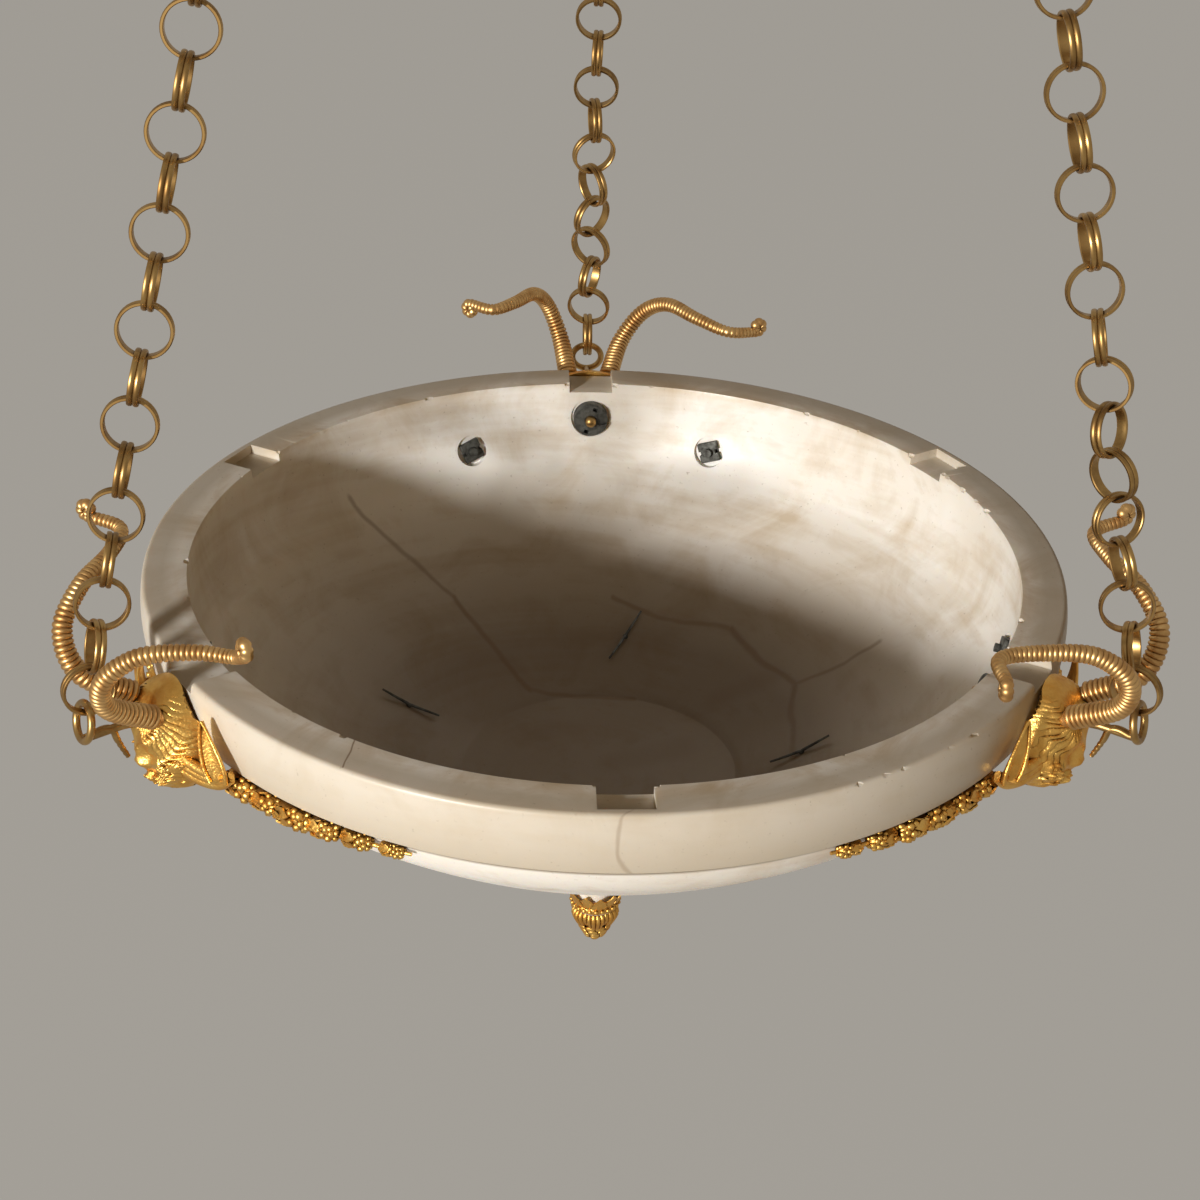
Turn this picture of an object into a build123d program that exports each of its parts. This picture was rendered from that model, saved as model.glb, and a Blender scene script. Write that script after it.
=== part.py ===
import os
from math import cos, hypot, radians, sin, sqrt

from build123d import *

os.makedirs("parts", exist_ok=True)

# Driving dimensions in millimetres and degrees.
# The ceiling is the plane Z = 0 and the light hangs below it.

# Ceiling fitting
plate_radius = 42.0
plate_thickness = 5.0
plate_screw_circle = 30.0
plate_screw_radius = 2.5
plate_screw_count = 3
hook_bar_radius = 4.5
hook_bar_sides = 8
hook_shank_radius = 4.0
hook_neck_length = 16.0
hook_bend_radius = 17.0
hook_bend_steps = 10
hook_bend_sweep = 205.0
hook_bend_start = 15.0
hook_neck_set = 4.0
lock_nut_height = 5.0
lock_nut_radius = 8.0
thread_clearance = 0.15
swing_gap = 0.4
bore_sides = 10

# Suspension ring and the crown's loop
ring_inside = 17.0
ring_section = 6.0
ring_bevel = 1.7
ring_sides = 16
loop_inside = 11.0
loop_sides = 12
loop_shank_radius = 4.0
loop_neck = 3.0
loop_nut_height = 6.0
loop_nut_radius = 8.0
shank_end = 3.0

# Crown
boss_radius = 15.0
boss_height = 32.0
crown_ring_width = 22.0
crown_ring_thickness = 6.0
crown_drop = 82.0
crown_arm_thickness = 8.0
crown_arm_foot = 12.0
crown_arm_head = 16.0
crown_arm_rise = 16.0
crown_arm_bite = 2.0
eye_shank_radius = 3.0
eye_neck = 3.0
eye_nut_height = 5.0
eye_nut_radius = 6.0

# Chains: plain band rings, each chain rolled and twisted in its own way
link_inside = 11.8
link_wall = 1.8
link_width = 5.4
link_sides = 8
link_gap = 0.7
link_count = 28
chain_lean = 13.4

# Bowl
rim_radius = 250.0
rim_width = 25.0
rim_ease = 1.5
band_height = 34.0
band_draw = 2.0
band_belly = 0.4
band_step = 5.0
step_rise = 2.5
shoulder_radius = 222.0
shoulder_level = -63.0
shoulder_bulge = 1.9
wall_bulge = 4.5
wall_foot_radius = 90.0
wall_foot_level = -152.0
base_radius = 48.0
base_level = -166.0
base_edge = 6.0
base_bulge = 1.0
scotia_hollow = -9.0
throat_radius = 15.0
throat_level = -212.0
bead_radius = 17.0
bead_step = 3.0
foot_radius = 13.0
foot_level = -236.0
floor_radius = 79.0
floor_level = -140.0
floor_dish = 9.0
floor_dish_midway = 6.8
inner_wall_bulge = 3.5
inner_shoulder_radius = 212.0
inner_shoulder_level = -51.0
inner_neck_radius = 222.6
inner_neck_level = -24.0
inner_neck_bulge = 1.6
recess_width = 27.0
recess_depth = 5.5
recess_lip = 6.0

# Hooks, masks and horns, measured from the rim's outer edge
hook_reach = 45.2
hook_rise = 4.0
hook_seat_gap = 0.85
hook_eye_inside = 8.0
hook_eye_section = 4.0
hook_eye_sides = 8
hook_tail_sides = 6
shank_radius = 3.5
shank_level = -22.0
shank_tail = 46.0
shank_into_eye = 6.7
shank_clearance = 0.3
mask_nut_radius = 10.8
mask_nut_height = 7.0
mask_nut_seat = 26.0
spot_margin = 1.5
spot_depth = 20.0
seat_gap = 0.3
mask_width = 58.0
mask_height = 58.0
mask_top = -3.0
mask_taper = 0.15
mask_sides = 12
mask_bore = 40.0
beard_depth = 9.0
ear_thickness = 5.0
ear_stand = 7.0
horn_base_radius = 6.4
horn_tip_radius = 2.3
horn_bead_radius = 3.3
horn_sides = 6
horn_sections = 9
socket_radius = 4.6
socket_depth = 7.0
socket_clearance = 0.25
horn_clear_height = 25.0

# Sprays of fruit and leaves, one each side of a mask, by their turn from the mask
spray_start = 9.5
spray_end = 36.0
spray_level = -43.5
spray_end_level = -41.0
spray_radius = 4.4
spray_end_radius = 2.4
spray_sections = 9
spray_sides = 6
spray_gap = 0.5
stud_turn = 20.0
stud_rise = 11.0
stud_radius = 2.5
stud_length = 29.5
square_nut_width = 12.5
square_nut_height = 4.0
square_nut_turn = 20.0
square_nut_seat = 22.5

# Finial, levels measured down from the boss
collar_height = 7.0
cup_height = 14.0
cone_height = 11.0
finial_radius = 12.5
finial_sides = 12
cup_flutes = 12
flute_share = 0.88
rod_radius = 3.0
rod_reach = 30.0
rod_in_cone = 0.6
rod_end_gap = 1.0

# Split pins
pin_circle = 115.0
pin_slope = 32.0
pin_radius = 1.6
pin_wall = 21.5
pin_overrun = 3.0
pin_leg_radius = 1.1
pin_leg_length = 19.0
pin_leg_lift = 5.0
pin_eye_inside = 2.4
pin_eye_sides = 8
pin_sides = 6

# Stations round the rim, and between them the arms of the crown
station_azimuth = {"back": 90.0, "left": 210.0, "right": 330.0}
arm_azimuths = [azimuth + 60 for azimuth in station_azimuth.values()]

# For each chain: the turn of its lowest link, the twist per link and the links that share it
chain_roll = {"back": (90, 12, 8), "left": (-84, 6, 4), "right": (-84, -14, 9)}

# For each split pin: its azimuth and the turn of its legs in the wall
pin_places = [(80, 114), (163, 73), (352, 88)]

# Tail of a chain hook, as steps out from the rim and up, with its radius
hook_tail = [(33.0, shank_level, 3.0), (33.5, -30.0, 2.8), (30.0, -38.0, 2.0), (28.0, -42.0, 1.0)]

# Layers of a mask: stand off the rim, share of its outline and lift
mask_layers = [(seat_gap, 1.0, 0), (10, 0.96, 0), (18, 0.78, 2), (24, 0.42, 7)]

# Layers of its nose: stand off the rim, width, height and level
nose_layers = [(12, 10, 16, -43), (25, 5, 6, -47)]

# Outlines of its beard and left ear, as steps round the rim and up
beard_outline = [(-15, -50), (15, -50), (5, -66), (-5, -66)]
ear_outline = [(20, -11), (30, -5), (39, -4), (48, -13), (54, -26), (42, -23), (30, -25), (20, -24)]

# Left horn of a mask, as steps round the rim, out from the rim and up
horn_route = [
    (13, 18.5, -13.5),
    (18, 43, 3),
    (27, 47, 24),
    (38, 32, 39),
    (55, 10, 43),
    (74, -4, 45),
    (94, 6, 46),
]

# Bead at a horn's tip, as reach past the tip and width in bead radii
horn_bead = [(0.6, 1.0), (1.5, 0.9), (2.1, 0.4)]

# Finial pieces, as share of their height and of the finial's radius
collar_shape = [(0, 1.05), (0.45, 1.2), (1, 0.85)]
cup_shape = [(0, 0.7), (0.5, 1.0), (1, 0.95)]
cone_shape = [(0, 0.8), (0.3, 0.86), (0.65, 0.68), (1, 0.25)]

# Sizes that follow from those above
link_pitch = 2 * link_inside - link_gap
lean_in = sin(radians(chain_lean))
lean_up = cos(radians(chain_lean))
hook_neck_level = -(plate_thickness + lock_nut_height + hook_neck_length)
hook_bottom = hook_neck_level - 2 * hook_bend_radius
ring_level = hook_bottom + hook_bar_radius + swing_gap - ring_inside
ring_bar_level = ring_level - ring_inside - ring_section / 2
loop_level = ring_bar_level + ring_section / 2 + swing_gap + ring_bevel / 4 - loop_inside
boss_top = loop_level - loop_inside - ring_section - loop_neck
boss_bottom = boss_top - boss_height
crown_ring_top = boss_bottom - crown_drop
crown_ring_bottom = crown_ring_top - crown_ring_thickness
eye_level = crown_ring_bottom - eye_neck - (link_inside + link_wall) * lean_up
chain_run = link_count * link_pitch
chain_radius = rim_radius + hook_reach
eye_radius = chain_radius - chain_run * lean_in
eye_shank_circle = eye_radius - (link_inside + link_wall / 2) * lean_in
rim_top = eye_level - chain_run * lean_up - hook_rise
rim_inside = rim_radius - rim_width


def outward(azimuth):
    """Unit vector from the axis towards an azimuth."""
    return Vector(cos(radians(azimuth)), sin(radians(azimuth)), 0)


def around(azimuth):
    """Unit vector along the rim at an azimuth."""
    return Vector(-sin(radians(azimuth)), cos(radians(azimuth)), 0)


def station_plane(azimuth, stand=0.0, level=0.0):
    """Plane on the rim's outer edge: X along the rim, Y up, facing out."""
    origin = outward(azimuth) * (rim_radius + stand) + Vector(0, 0, rim_top + level)
    return Plane(origin=origin, x_dir=around(azimuth), z_dir=outward(azimuth))


def section_plane(origin, direction, reference):
    """Plane across a direction, with its X axis along the reference as far as it can be."""
    side = reference - direction * reference.dot(direction)
    return Plane(origin=origin, x_dir=side, z_dir=direction)


def ring_face(inside, wall, sides):
    """Flat-sided ring with flats at the top and bottom."""
    turn = 180 / sides
    RegularPolygon(inside + wall, sides, major_radius=False, rotation=turn)
    RegularPolygon(inside, sides, major_radius=False, rotation=turn, mode=Mode.SUBTRACT)


def hex_nut(plane, radius, height, hole):
    """Hexagon nut standing on a plane."""
    with BuildSketch(plane) as face:
        RegularPolygon(radius, 6)
        RegularPolygon(hole, bore_sides, major_radius=False, mode=Mode.SUBTRACT)
    extrude(face.sketch, amount=height)


def bore(plane, radius, depth):
    """Hole from a plane along its normal, drawn with flat sides round its circle."""
    with BuildSketch(plane) as face:
        RegularPolygon(radius, bore_sides, major_radius=False)
    extrude(face.sketch, amount=depth, mode=Mode.SUBTRACT)


def circle_through(first, second, third):
    """Centre and radius of the circle through three points of a profile."""
    (ax, ay), (bx, by), (cx, cy) = first, second, third
    twice_area = 2 * (ax * (by - cy) + bx * (cy - ay) + cx * (ay - by))
    a2, b2, c2 = ax**2 + ay**2, bx**2 + by**2, cx**2 + cy**2
    x = (a2 * (by - cy) + b2 * (cy - ay) + c2 * (ay - by)) / twice_area
    y = (a2 * (cx - bx) + b2 * (ax - cx) + c2 * (bx - ax)) / twice_area
    return x, y, hypot(ax - x, ay - y)


def bulged(start, end, sagitta):
    """Middle point of an arc that bulges away from the axis and down."""
    run, rise = start[0] - end[0], start[1] - end[1]
    chord = hypot(run, rise)
    middle = (start[0] + end[0]) / 2, (start[1] + end[1]) / 2
    return middle[0] + sagitta * rise / chord, middle[1] - sagitta * run / chord


# Ceiling plate
with BuildPart() as ceiling_plate:
    with BuildSketch():
        Circle(plate_radius)
        Circle(hook_shank_radius + thread_clearance, mode=Mode.SUBTRACT)
        with PolarLocations(plate_screw_circle, plate_screw_count):
            Circle(plate_screw_radius, mode=Mode.SUBTRACT)
    extrude(amount=-plate_thickness)
ceiling_plate.part.label = "ceiling_plate"
export_step(ceiling_plate.part, "parts/ceiling_plate.step")

# Lock nut under the plate
with BuildPart() as hook_lock_nut:
    nut_foot = Plane.XY.offset(-plate_thickness - lock_nut_height)
    hex_nut(nut_foot, lock_nut_radius, lock_nut_height, hook_shank_radius + thread_clearance)
hook_lock_nut.part.label = "hook_lock_nut"
export_step(hook_lock_nut.part, "parts/hook_lock_nut.step")

# Ceiling hook: a straight neck that swings out into a round bend
bend_level = hook_bottom + hook_bend_radius
bend_points = []
for step in range(hook_bend_steps + 1):
    angle = radians(hook_bend_start - hook_bend_sweep * step / hook_bend_steps)
    bend_points.append((hook_bend_radius * cos(angle), bend_level + hook_bend_radius * sin(angle)))
with BuildPart() as ceiling_hook:
    shank_foot = -plate_thickness - lock_nut_height - swing_gap
    with BuildLine(Plane.XZ):
        hook_line = Polyline((0, shank_foot), (0, hook_neck_level + hook_neck_set), *bend_points)
    with BuildSketch(Plane.XY.offset(shank_foot)):
        RegularPolygon(hook_bar_radius, hook_bar_sides, rotation=180 / hook_bar_sides)
    sweep(path=hook_line, transition=Transition.RIGHT)
    with BuildSketch(Plane.XY.offset(shank_foot)):
        Circle(hook_shank_radius)
    extrude(amount=-shank_foot - swing_gap)
ceiling_hook.part.label = "ceiling_hook"
export_step(ceiling_hook.part, "parts/ceiling_hook.step")

# Suspension ring, hanging across the hook
with BuildPart() as suspension_ring:
    with BuildSketch(Plane(origin=(0, 0, ring_level), x_dir=(0, 1, 0), z_dir=(1, 0, 0))):
        ring_face(ring_inside, ring_section, ring_sides)
    extrude(amount=ring_section / 2, both=True)
    chamfer(suspension_ring.edges().filter_by(Axis.X, reverse=True), ring_bevel)
suspension_ring.part.label = "suspension_ring"
export_step(suspension_ring.part, "parts/suspension_ring.step")

# Crown loop, hanging across the suspension ring, with a threaded shank through the boss
loop_foot = loop_level - loop_inside - ring_section / 2
with BuildPart() as crown_loop:
    with BuildSketch(Plane(origin=(0, 0, loop_level), x_dir=(1, 0, 0), z_dir=(0, -1, 0))):
        ring_face(loop_inside, ring_section, loop_sides)
    extrude(amount=ring_section / 2, both=True)
    chamfer(crown_loop.edges().filter_by(Axis.Y, reverse=True), ring_bevel)
    with BuildSketch(Plane.XY.offset(loop_foot)):
        Circle(loop_shank_radius)
    extrude(amount=boss_bottom - loop_nut_height - shank_end - loop_foot)
crown_loop.part.label = "crown_loop"
export_step(crown_loop.part, "parts/crown_loop.step")

# Nut on the loop's shank, under the boss
with BuildPart() as crown_loop_nut:
    loop_nut_foot = Plane.XY.offset(boss_bottom - loop_nut_height)
    hex_nut(loop_nut_foot, loop_nut_radius, loop_nut_height, loop_shank_radius + thread_clearance)
crown_loop_nut.part.label = "crown_loop_nut"
export_step(crown_loop_nut.part, "parts/crown_loop_nut.step")

# Crown: a flat ring carried on three bowed arms from a boss
arm_foot_radius = eye_shank_circle
arm_low = crown_ring_top - crown_ring_thickness / 2
arm_high = boss_top - boss_height / 4
with BuildPart() as crown_frame:
    with BuildSketch(Plane.XY.offset(crown_ring_bottom)):
        Circle(eye_shank_circle + crown_ring_width / 2)
        Circle(eye_shank_circle - crown_ring_width / 2, mode=Mode.SUBTRACT)
    extrude(amount=crown_ring_thickness)
    with BuildSketch(Plane.XY.offset(boss_bottom)):
        Circle(boss_radius)
    extrude(amount=boss_height)
    for azimuth in arm_azimuths:
        with BuildSketch(Plane(origin=(0, 0, 0), x_dir=outward(azimuth), z_dir=-around(azimuth))):
            with BuildLine():
                outer_foot = (arm_foot_radius + crown_arm_foot / 2, arm_low)
                outer_head = (boss_radius - crown_arm_bite, arm_high)
                inner_head = (boss_radius - crown_arm_bite, arm_high - crown_arm_head)
                inner_foot = (arm_foot_radius - crown_arm_foot / 2, arm_low)
                ThreePointArc(outer_foot, bulged(outer_foot, outer_head, -crown_arm_rise), outer_head)
                Line(outer_head, inner_head)
                ThreePointArc(inner_head, bulged(inner_foot, inner_head, -crown_arm_rise), inner_foot)
                Line(inner_foot, outer_foot)
            make_face()
        extrude(amount=crown_arm_thickness / 2, both=True)
    bore(Plane.XY.offset(boss_bottom), loop_shank_radius + shank_clearance, boss_height)
    for azimuth in station_azimuth.values():
        eye_hole = outward(azimuth) * eye_shank_circle + Vector(0, 0, crown_ring_bottom)
        bore(Plane(eye_hole), eye_shank_radius + shank_clearance, crown_ring_thickness)
crown_frame.part.label = "crown_frame"
export_step(crown_frame.part, "parts/crown_frame.step")


def link_plane(azimuth, roll, index):
    """Plane of one link, counted up its chain, with Y along the chain."""
    start, twist, twisted = roll
    turn = radians(start + twist * min(index, twisted) + 90 * (index % 2))
    along = Vector(0, 0, lean_up) - outward(azimuth) * lean_in
    face = outward(azimuth) * lean_up + Vector(0, 0, lean_in)
    across = around(azimuth) * cos(turn) + face * sin(turn)
    foot = outward(azimuth) * chain_radius + Vector(0, 0, rim_top + hook_rise)
    return Plane(origin=foot + along * link_pitch * index, x_dir=across, z_dir=across.cross(along))


# Chains of interlinked rings
for station, azimuth in station_azimuth.items():
    with BuildPart() as chain:
        for index in range(link_count):
            with BuildSketch(link_plane(azimuth, chain_roll[station], index)):
                ring_face(link_inside, link_wall, link_sides)
            extrude(amount=link_width / 2, both=True)
    chain.part.label = f"chain_{station}"
    export_step(chain.part, f"parts/chain_{station}.step")

# Eyebolts in the crown ring, each in the place of its chain's next link
with BuildPart() as crown_eyebolts:
    for station, azimuth in station_azimuth.items():
        with BuildSketch(link_plane(azimuth, chain_roll[station], link_count)):
            ring_face(link_inside, link_wall, link_sides)
        extrude(amount=link_width / 2, both=True)
        eye_top = eye_level + (link_inside + link_wall / 2) * lean_up
        with BuildSketch(Plane(outward(azimuth) * eye_shank_circle + Vector(0, 0, eye_top))):
            RegularPolygon(eye_shank_radius, bore_sides)
        extrude(amount=crown_ring_top + eye_nut_height + shank_end - eye_top)
crown_eyebolts.part.label = "crown_eyebolts"
export_step(crown_eyebolts.part, "parts/crown_eyebolts.step")

# Nuts on the eyebolts
with BuildPart() as crown_eye_nuts:
    for azimuth in station_azimuth.values():
        nut_place = Plane(outward(azimuth) * eye_shank_circle + Vector(0, 0, crown_ring_top))
        hex_nut(nut_place, eye_nut_radius, eye_nut_height, eye_shank_radius + thread_clearance)
crown_eye_nuts.part.label = "crown_eye_nuts"
export_step(crown_eye_nuts.part, "parts/crown_eye_nuts.step")


# Bowl profile, as radius and level below the rim's top
band_top = (rim_radius - rim_ease, 0)
band_foot = (rim_radius - rim_ease - band_draw, -band_height)
step_in = (band_foot[0] - band_step, band_foot[1] - step_rise)
shoulder = (shoulder_radius, shoulder_level)
wall_foot = (wall_foot_radius, wall_foot_level)
base_rim = (base_radius, base_level)
base_low = (base_radius, base_level - base_edge)
throat = (throat_radius, throat_level)
floor_edge = (floor_radius, floor_level)
inner_shoulder = (inner_shoulder_radius, inner_shoulder_level)
inner_neck = (inner_neck_radius, inner_neck_level)
shoulder_mid = bulged(step_in, shoulder, shoulder_bulge)
wall_mid = bulged(shoulder, wall_foot, wall_bulge)
inner_wall_mid = bulged(inner_shoulder, floor_edge, inner_wall_bulge)
shoulder_arc = circle_through(step_in, shoulder_mid, shoulder)
wall_arc = circle_through(shoulder, wall_mid, wall_foot)
inner_arc = circle_through(inner_shoulder, inner_wall_mid, floor_edge)


def hang_point(level, stand):
    """Radius and outward slope of a point that stands off the bowl's underside."""
    x, y, arc_radius = wall_arc
    change = shoulder_level + stand * (shoulder_level - y) / arc_radius
    if level > change:
        x, y, arc_radius = shoulder_arc
    radius = x + sqrt((arc_radius + stand) ** 2 - (level - y) ** 2)
    length = hypot(radius - x, level - y)
    return radius, (radius - x) / length, (level - y) / length


def spray_place(azimuth, side, turn):
    """Point, outward normal and radius of a spray at a turn from its mask."""
    share = (turn - spray_start) / (spray_end - spray_start)
    level = spray_level + (spray_end_level - spray_level) * share
    size = spray_radius + (spray_end_radius - spray_radius) * share**2
    radius, out, down = hang_point(level, size * cos(radians(180 / spray_sides)) + spray_gap)
    direction = outward(azimuth + side * turn)
    point = direction * radius + Vector(0, 0, rim_top + level)
    return point, direction * out + Vector(0, 0, down), size


def stud_axis(azimuth, side):
    """Start of a spray's stud and its direction into the bowl."""
    rise = radians(stud_rise)
    inward = -outward(azimuth + side * stud_turn)
    return spray_place(azimuth, side, stud_turn)[0], inward * cos(rise) + Vector(0, 0, sin(rise))


def pin_axes(azimuth):
    """Foot on the inner wall, inward normal and upward slope for a split pin."""
    x, y, arc_radius = inner_arc
    level = y - sqrt(arc_radius**2 - (pin_circle - x) ** 2)
    foot = outward(azimuth) * pin_circle + Vector(0, 0, rim_top + level)
    lean = radians(pin_slope)
    normal = Vector(0, 0, cos(lean)) - outward(azimuth) * sin(lean)
    slope = outward(azimuth) * cos(lean) + Vector(0, 0, sin(lean))
    return foot, normal, slope


# Alabaster bowl with its rim recesses, bolt holes and turned boss
with BuildPart() as alabaster_bowl:
    with BuildSketch(Plane(origin=(0, 0, rim_top), x_dir=(1, 0, 0), z_dir=(0, -1, 0))):
        with BuildLine():
            Line((rim_inside, 0), band_top)
            ThreePointArc(band_top, (rim_radius, -band_height * band_belly), band_foot)
            Line(band_foot, step_in)
            ThreePointArc(step_in, shoulder_mid, shoulder)
            ThreePointArc(shoulder, wall_mid, wall_foot)
            ThreePointArc(wall_foot, bulged(wall_foot, base_rim, base_bulge), base_rim)
            Line(base_rim, base_low)
            ThreePointArc(base_low, bulged(base_low, throat, scotia_hollow), throat)
            bead = [(bead_radius, throat_level - bead_step), (bead_radius, throat_level - 2 * bead_step)]
            neck = [(foot_radius, throat_level - 3 * bead_step), (foot_radius, foot_level), (0, foot_level)]
            Polyline(throat, *bead, *neck, (0, floor_level - floor_dish))
            floor_mid = (floor_radius / 2, floor_level - floor_dish_midway)
            ThreePointArc((0, floor_level - floor_dish), floor_mid, floor_edge)
            ThreePointArc(floor_edge, inner_wall_mid, inner_shoulder)
            ThreePointArc(inner_shoulder, bulged(inner_neck, inner_shoulder, inner_neck_bulge), inner_neck)
            Line(inner_neck, (rim_inside, 0))
        make_face()
    revolve(axis=Axis.Z)
    with BuildSketch(Plane.XY.offset(rim_top - recess_depth)):
        for azimuth in station_azimuth.values():
            for turn, reach in ((0, rim_radius + band_step), (60, rim_radius - recess_lip)):
                middle = outward(azimuth + turn) * ((rim_inside - band_step + reach) / 2)
                with Locations((middle.X, middle.Y)):
                    Rectangle(reach - rim_inside + band_step, recess_width, rotation=azimuth + turn)
    extrude(amount=2 * recess_depth, mode=Mode.SUBTRACT)
    for azimuth in station_azimuth.values():
        stud_line = station_plane(azimuth, -mask_nut_seat, shank_level)
        bore(stud_line, shank_radius + shank_clearance, mask_nut_seat + band_step)
        seat = Plane(stud_line.origin, stud_line.x_dir, -stud_line.z_dir)
        bore(seat, mask_nut_radius + spot_margin, spot_depth)
        for side in (1, -1):
            point, into = stud_axis(azimuth, side)
            bore(Plane(point, z_dir=into), stud_radius + shank_clearance, stud_length)
            seat = Plane(point + into * square_nut_seat, z_dir=into)
            bore(seat, square_nut_width * sqrt(0.5) + spot_margin / 2, spot_depth)
    for azimuth, _ in pin_places:
        foot, normal, _ = pin_axes(azimuth)
        pin_hole = Plane(foot + normal * pin_overrun, z_dir=-normal)
        bore(pin_hole, pin_radius + shank_clearance, pin_wall + 2 * pin_overrun)
    bore(Plane.XY.offset(rim_top + foot_level), rod_radius + shank_clearance, rod_reach + rod_end_gap)
alabaster_bowl.part.label = "alabaster_bowl"
export_step(alabaster_bowl.part, "parts/alabaster_bowl.step")


def horn_line(azimuth, side):
    """Curve of one horn; side is 1 for the left horn and -1 for the right."""
    plane = station_plane(azimuth)
    with BuildLine() as route:
        Spline(*[plane.from_local_coords((side * t, up, out)) for t, out, up in horn_route])
    return route.edge()


def horn_reference(azimuth, side):
    """Direction that no stretch of a horn runs along."""
    return around(azimuth) * 0.7 * side + outward(azimuth) * 0.1 + Vector(0, 0, -0.7)


def face_outline(scale, lift):
    """Egg-shaped outline of a mask, widest at the brow."""
    points = []
    for step in range(mask_sides):
        angle = radians(360 * step / mask_sides)
        half = mask_width / 2 * (1 + mask_taper * cos(angle))
        points.append((scale * half * sin(angle), scale * mask_height / 2 * cos(angle)))
    with Locations((0, mask_top - mask_height / 2 + lift)):
        Polygon(*points, align=None)


# Horned masks
for station, azimuth in station_azimuth.items():
    with BuildPart() as mask:
        for stand, scale, lift in mask_layers:
            with BuildSketch(station_plane(azimuth, stand)):
                face_outline(scale, lift)
        loft(ruled=True)
        for stand, wide, tall, level in nose_layers:
            with BuildSketch(station_plane(azimuth, stand)):
                with Locations((0, level)):
                    Rectangle(wide, tall)
        loft(ruled=True)
        with BuildSketch(station_plane(azimuth, seat_gap + 1)):
            Polygon(*beard_outline, align=None)
        extrude(amount=beard_depth)
        for side in (-1, 1):
            with BuildSketch(station_plane(azimuth, ear_stand)):
                Polygon(*[(side * x, y) for x, y in ear_outline], align=None)
            extrude(amount=ear_thickness)
            horn = horn_line(azimuth, side)
            seat = section_plane(horn @ 0, horn % 0, horn_reference(azimuth, side))
            with BuildSketch(seat):
                RegularPolygon(horn_base_radius + socket_clearance, horn_sides)
            extrude(amount=horn_clear_height, mode=Mode.SUBTRACT)
            with BuildSketch(seat):
                RegularPolygon(socket_radius + socket_clearance, horn_sides)
            extrude(amount=-socket_depth - socket_clearance, mode=Mode.SUBTRACT)
        bore(station_plane(azimuth, 0, shank_level), shank_radius + shank_clearance, mask_bore)
    mask.part.label = f"mask_{station}"
    export_step(mask.part, f"parts/mask_{station}.step")

# Horns: a spigot in the mask, a tapering double curve and a bead at the tip
for station, azimuth in station_azimuth.items():
    for hand, side in (("a", 1), ("b", -1)):
        curve = horn_line(azimuth, side)
        reference = horn_reference(azimuth, side)
        with BuildPart() as horn:
            for step in range(horn_sections):
                share = step / (horn_sections - 1)
                with BuildSketch(section_plane(curve @ share, curve % share, reference)):
                    size = horn_base_radius + (horn_tip_radius - horn_base_radius) * share
                    RegularPolygon(size, horn_sides)
            for reach, size in horn_bead:
                tip = curve @ 1 + (curve % 1) * horn_bead_radius * reach
                with BuildSketch(section_plane(tip, curve % 1, reference)):
                    RegularPolygon(horn_bead_radius * size, horn_sides)
            loft(ruled=True)
            with BuildSketch(section_plane(curve @ 0, curve % 0, reference)):
                RegularPolygon(socket_radius, horn_sides)
            extrude(amount=-socket_depth)
        horn.part.label = f"horn_{station}_{hand}"
        export_step(horn.part, f"parts/horn_{station}_{hand}.step")

# Chain hooks: an eye for the lowest link, a shank through mask and wall, and a tail over the brow
for station, azimuth in station_azimuth.items():
    frame = station_plane(azimuth)
    along = Vector(0, 0, lean_up) - outward(azimuth) * lean_in
    link_centre = frame.from_local_coords((0, hook_rise, hook_reach))
    eye_top_bar = link_centre - along * (link_inside - hook_seat_gap - hook_eye_section / 2)
    eye_centre = eye_top_bar - along * (hook_eye_inside + hook_eye_section / 2)
    eye_facing = outward(azimuth) * lean_up + Vector(0, 0, lean_in)
    with BuildPart() as chain_hook:
        with BuildSketch(Plane(eye_centre, x_dir=around(azimuth), z_dir=eye_facing)):
            ring_face(hook_eye_inside, hook_eye_section, hook_eye_sides)
        extrude(amount=hook_eye_section / 2, both=True)
        with BuildSketch(station_plane(azimuth, -shank_tail, shank_level)):
            Circle(shank_radius)
        extrude(amount=shank_tail + hook_reach + shank_into_eye)
        for out, up, size in hook_tail:
            with BuildSketch(Plane(frame.from_local_coords((0, up, out)), x_dir=around(azimuth))):
                RegularPolygon(size, hook_tail_sides)
        loft(ruled=True)
    chain_hook.part.label = f"chain_hook_{station}"
    export_step(chain_hook.part, f"parts/chain_hook_{station}.step")

# Round nuts on the hook shanks, inside the bowl
with BuildPart() as mask_nuts:
    for azimuth in station_azimuth.values():
        seat = station_plane(azimuth, -mask_nut_seat, shank_level)
        with BuildSketch(seat):
            Circle(mask_nut_radius)
            thread = shank_radius + thread_clearance
            RegularPolygon(thread, bore_sides, major_radius=False, mode=Mode.SUBTRACT)
        extrude(amount=-mask_nut_height)
mask_nuts.part.label = "mask_nuts"
export_step(mask_nuts.part, "parts/mask_nuts.step")

# Sprays, each with a cast stud
for station, azimuth in station_azimuth.items():
    for hand, side in (("a", 1), ("b", -1)):
        with BuildPart() as spray:
            for step in range(spray_sections):
                turn = spray_start + (spray_end - spray_start) * step / (spray_sections - 1)
                point, normal, size = spray_place(azimuth, side, turn)
                run = around(azimuth + side * turn)
                with BuildSketch(section_plane(point, run, normal)):
                    RegularPolygon(size, spray_sides, rotation=180 / spray_sides)
            loft(ruled=True)
            point, into = stud_axis(azimuth, side)
            with BuildSketch(Plane(point, z_dir=into)):
                RegularPolygon(stud_radius, bore_sides)
            extrude(amount=stud_length)
        spray.part.label = f"spray_{station}_{hand}"
        export_step(spray.part, f"parts/spray_{station}_{hand}.step")

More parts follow.
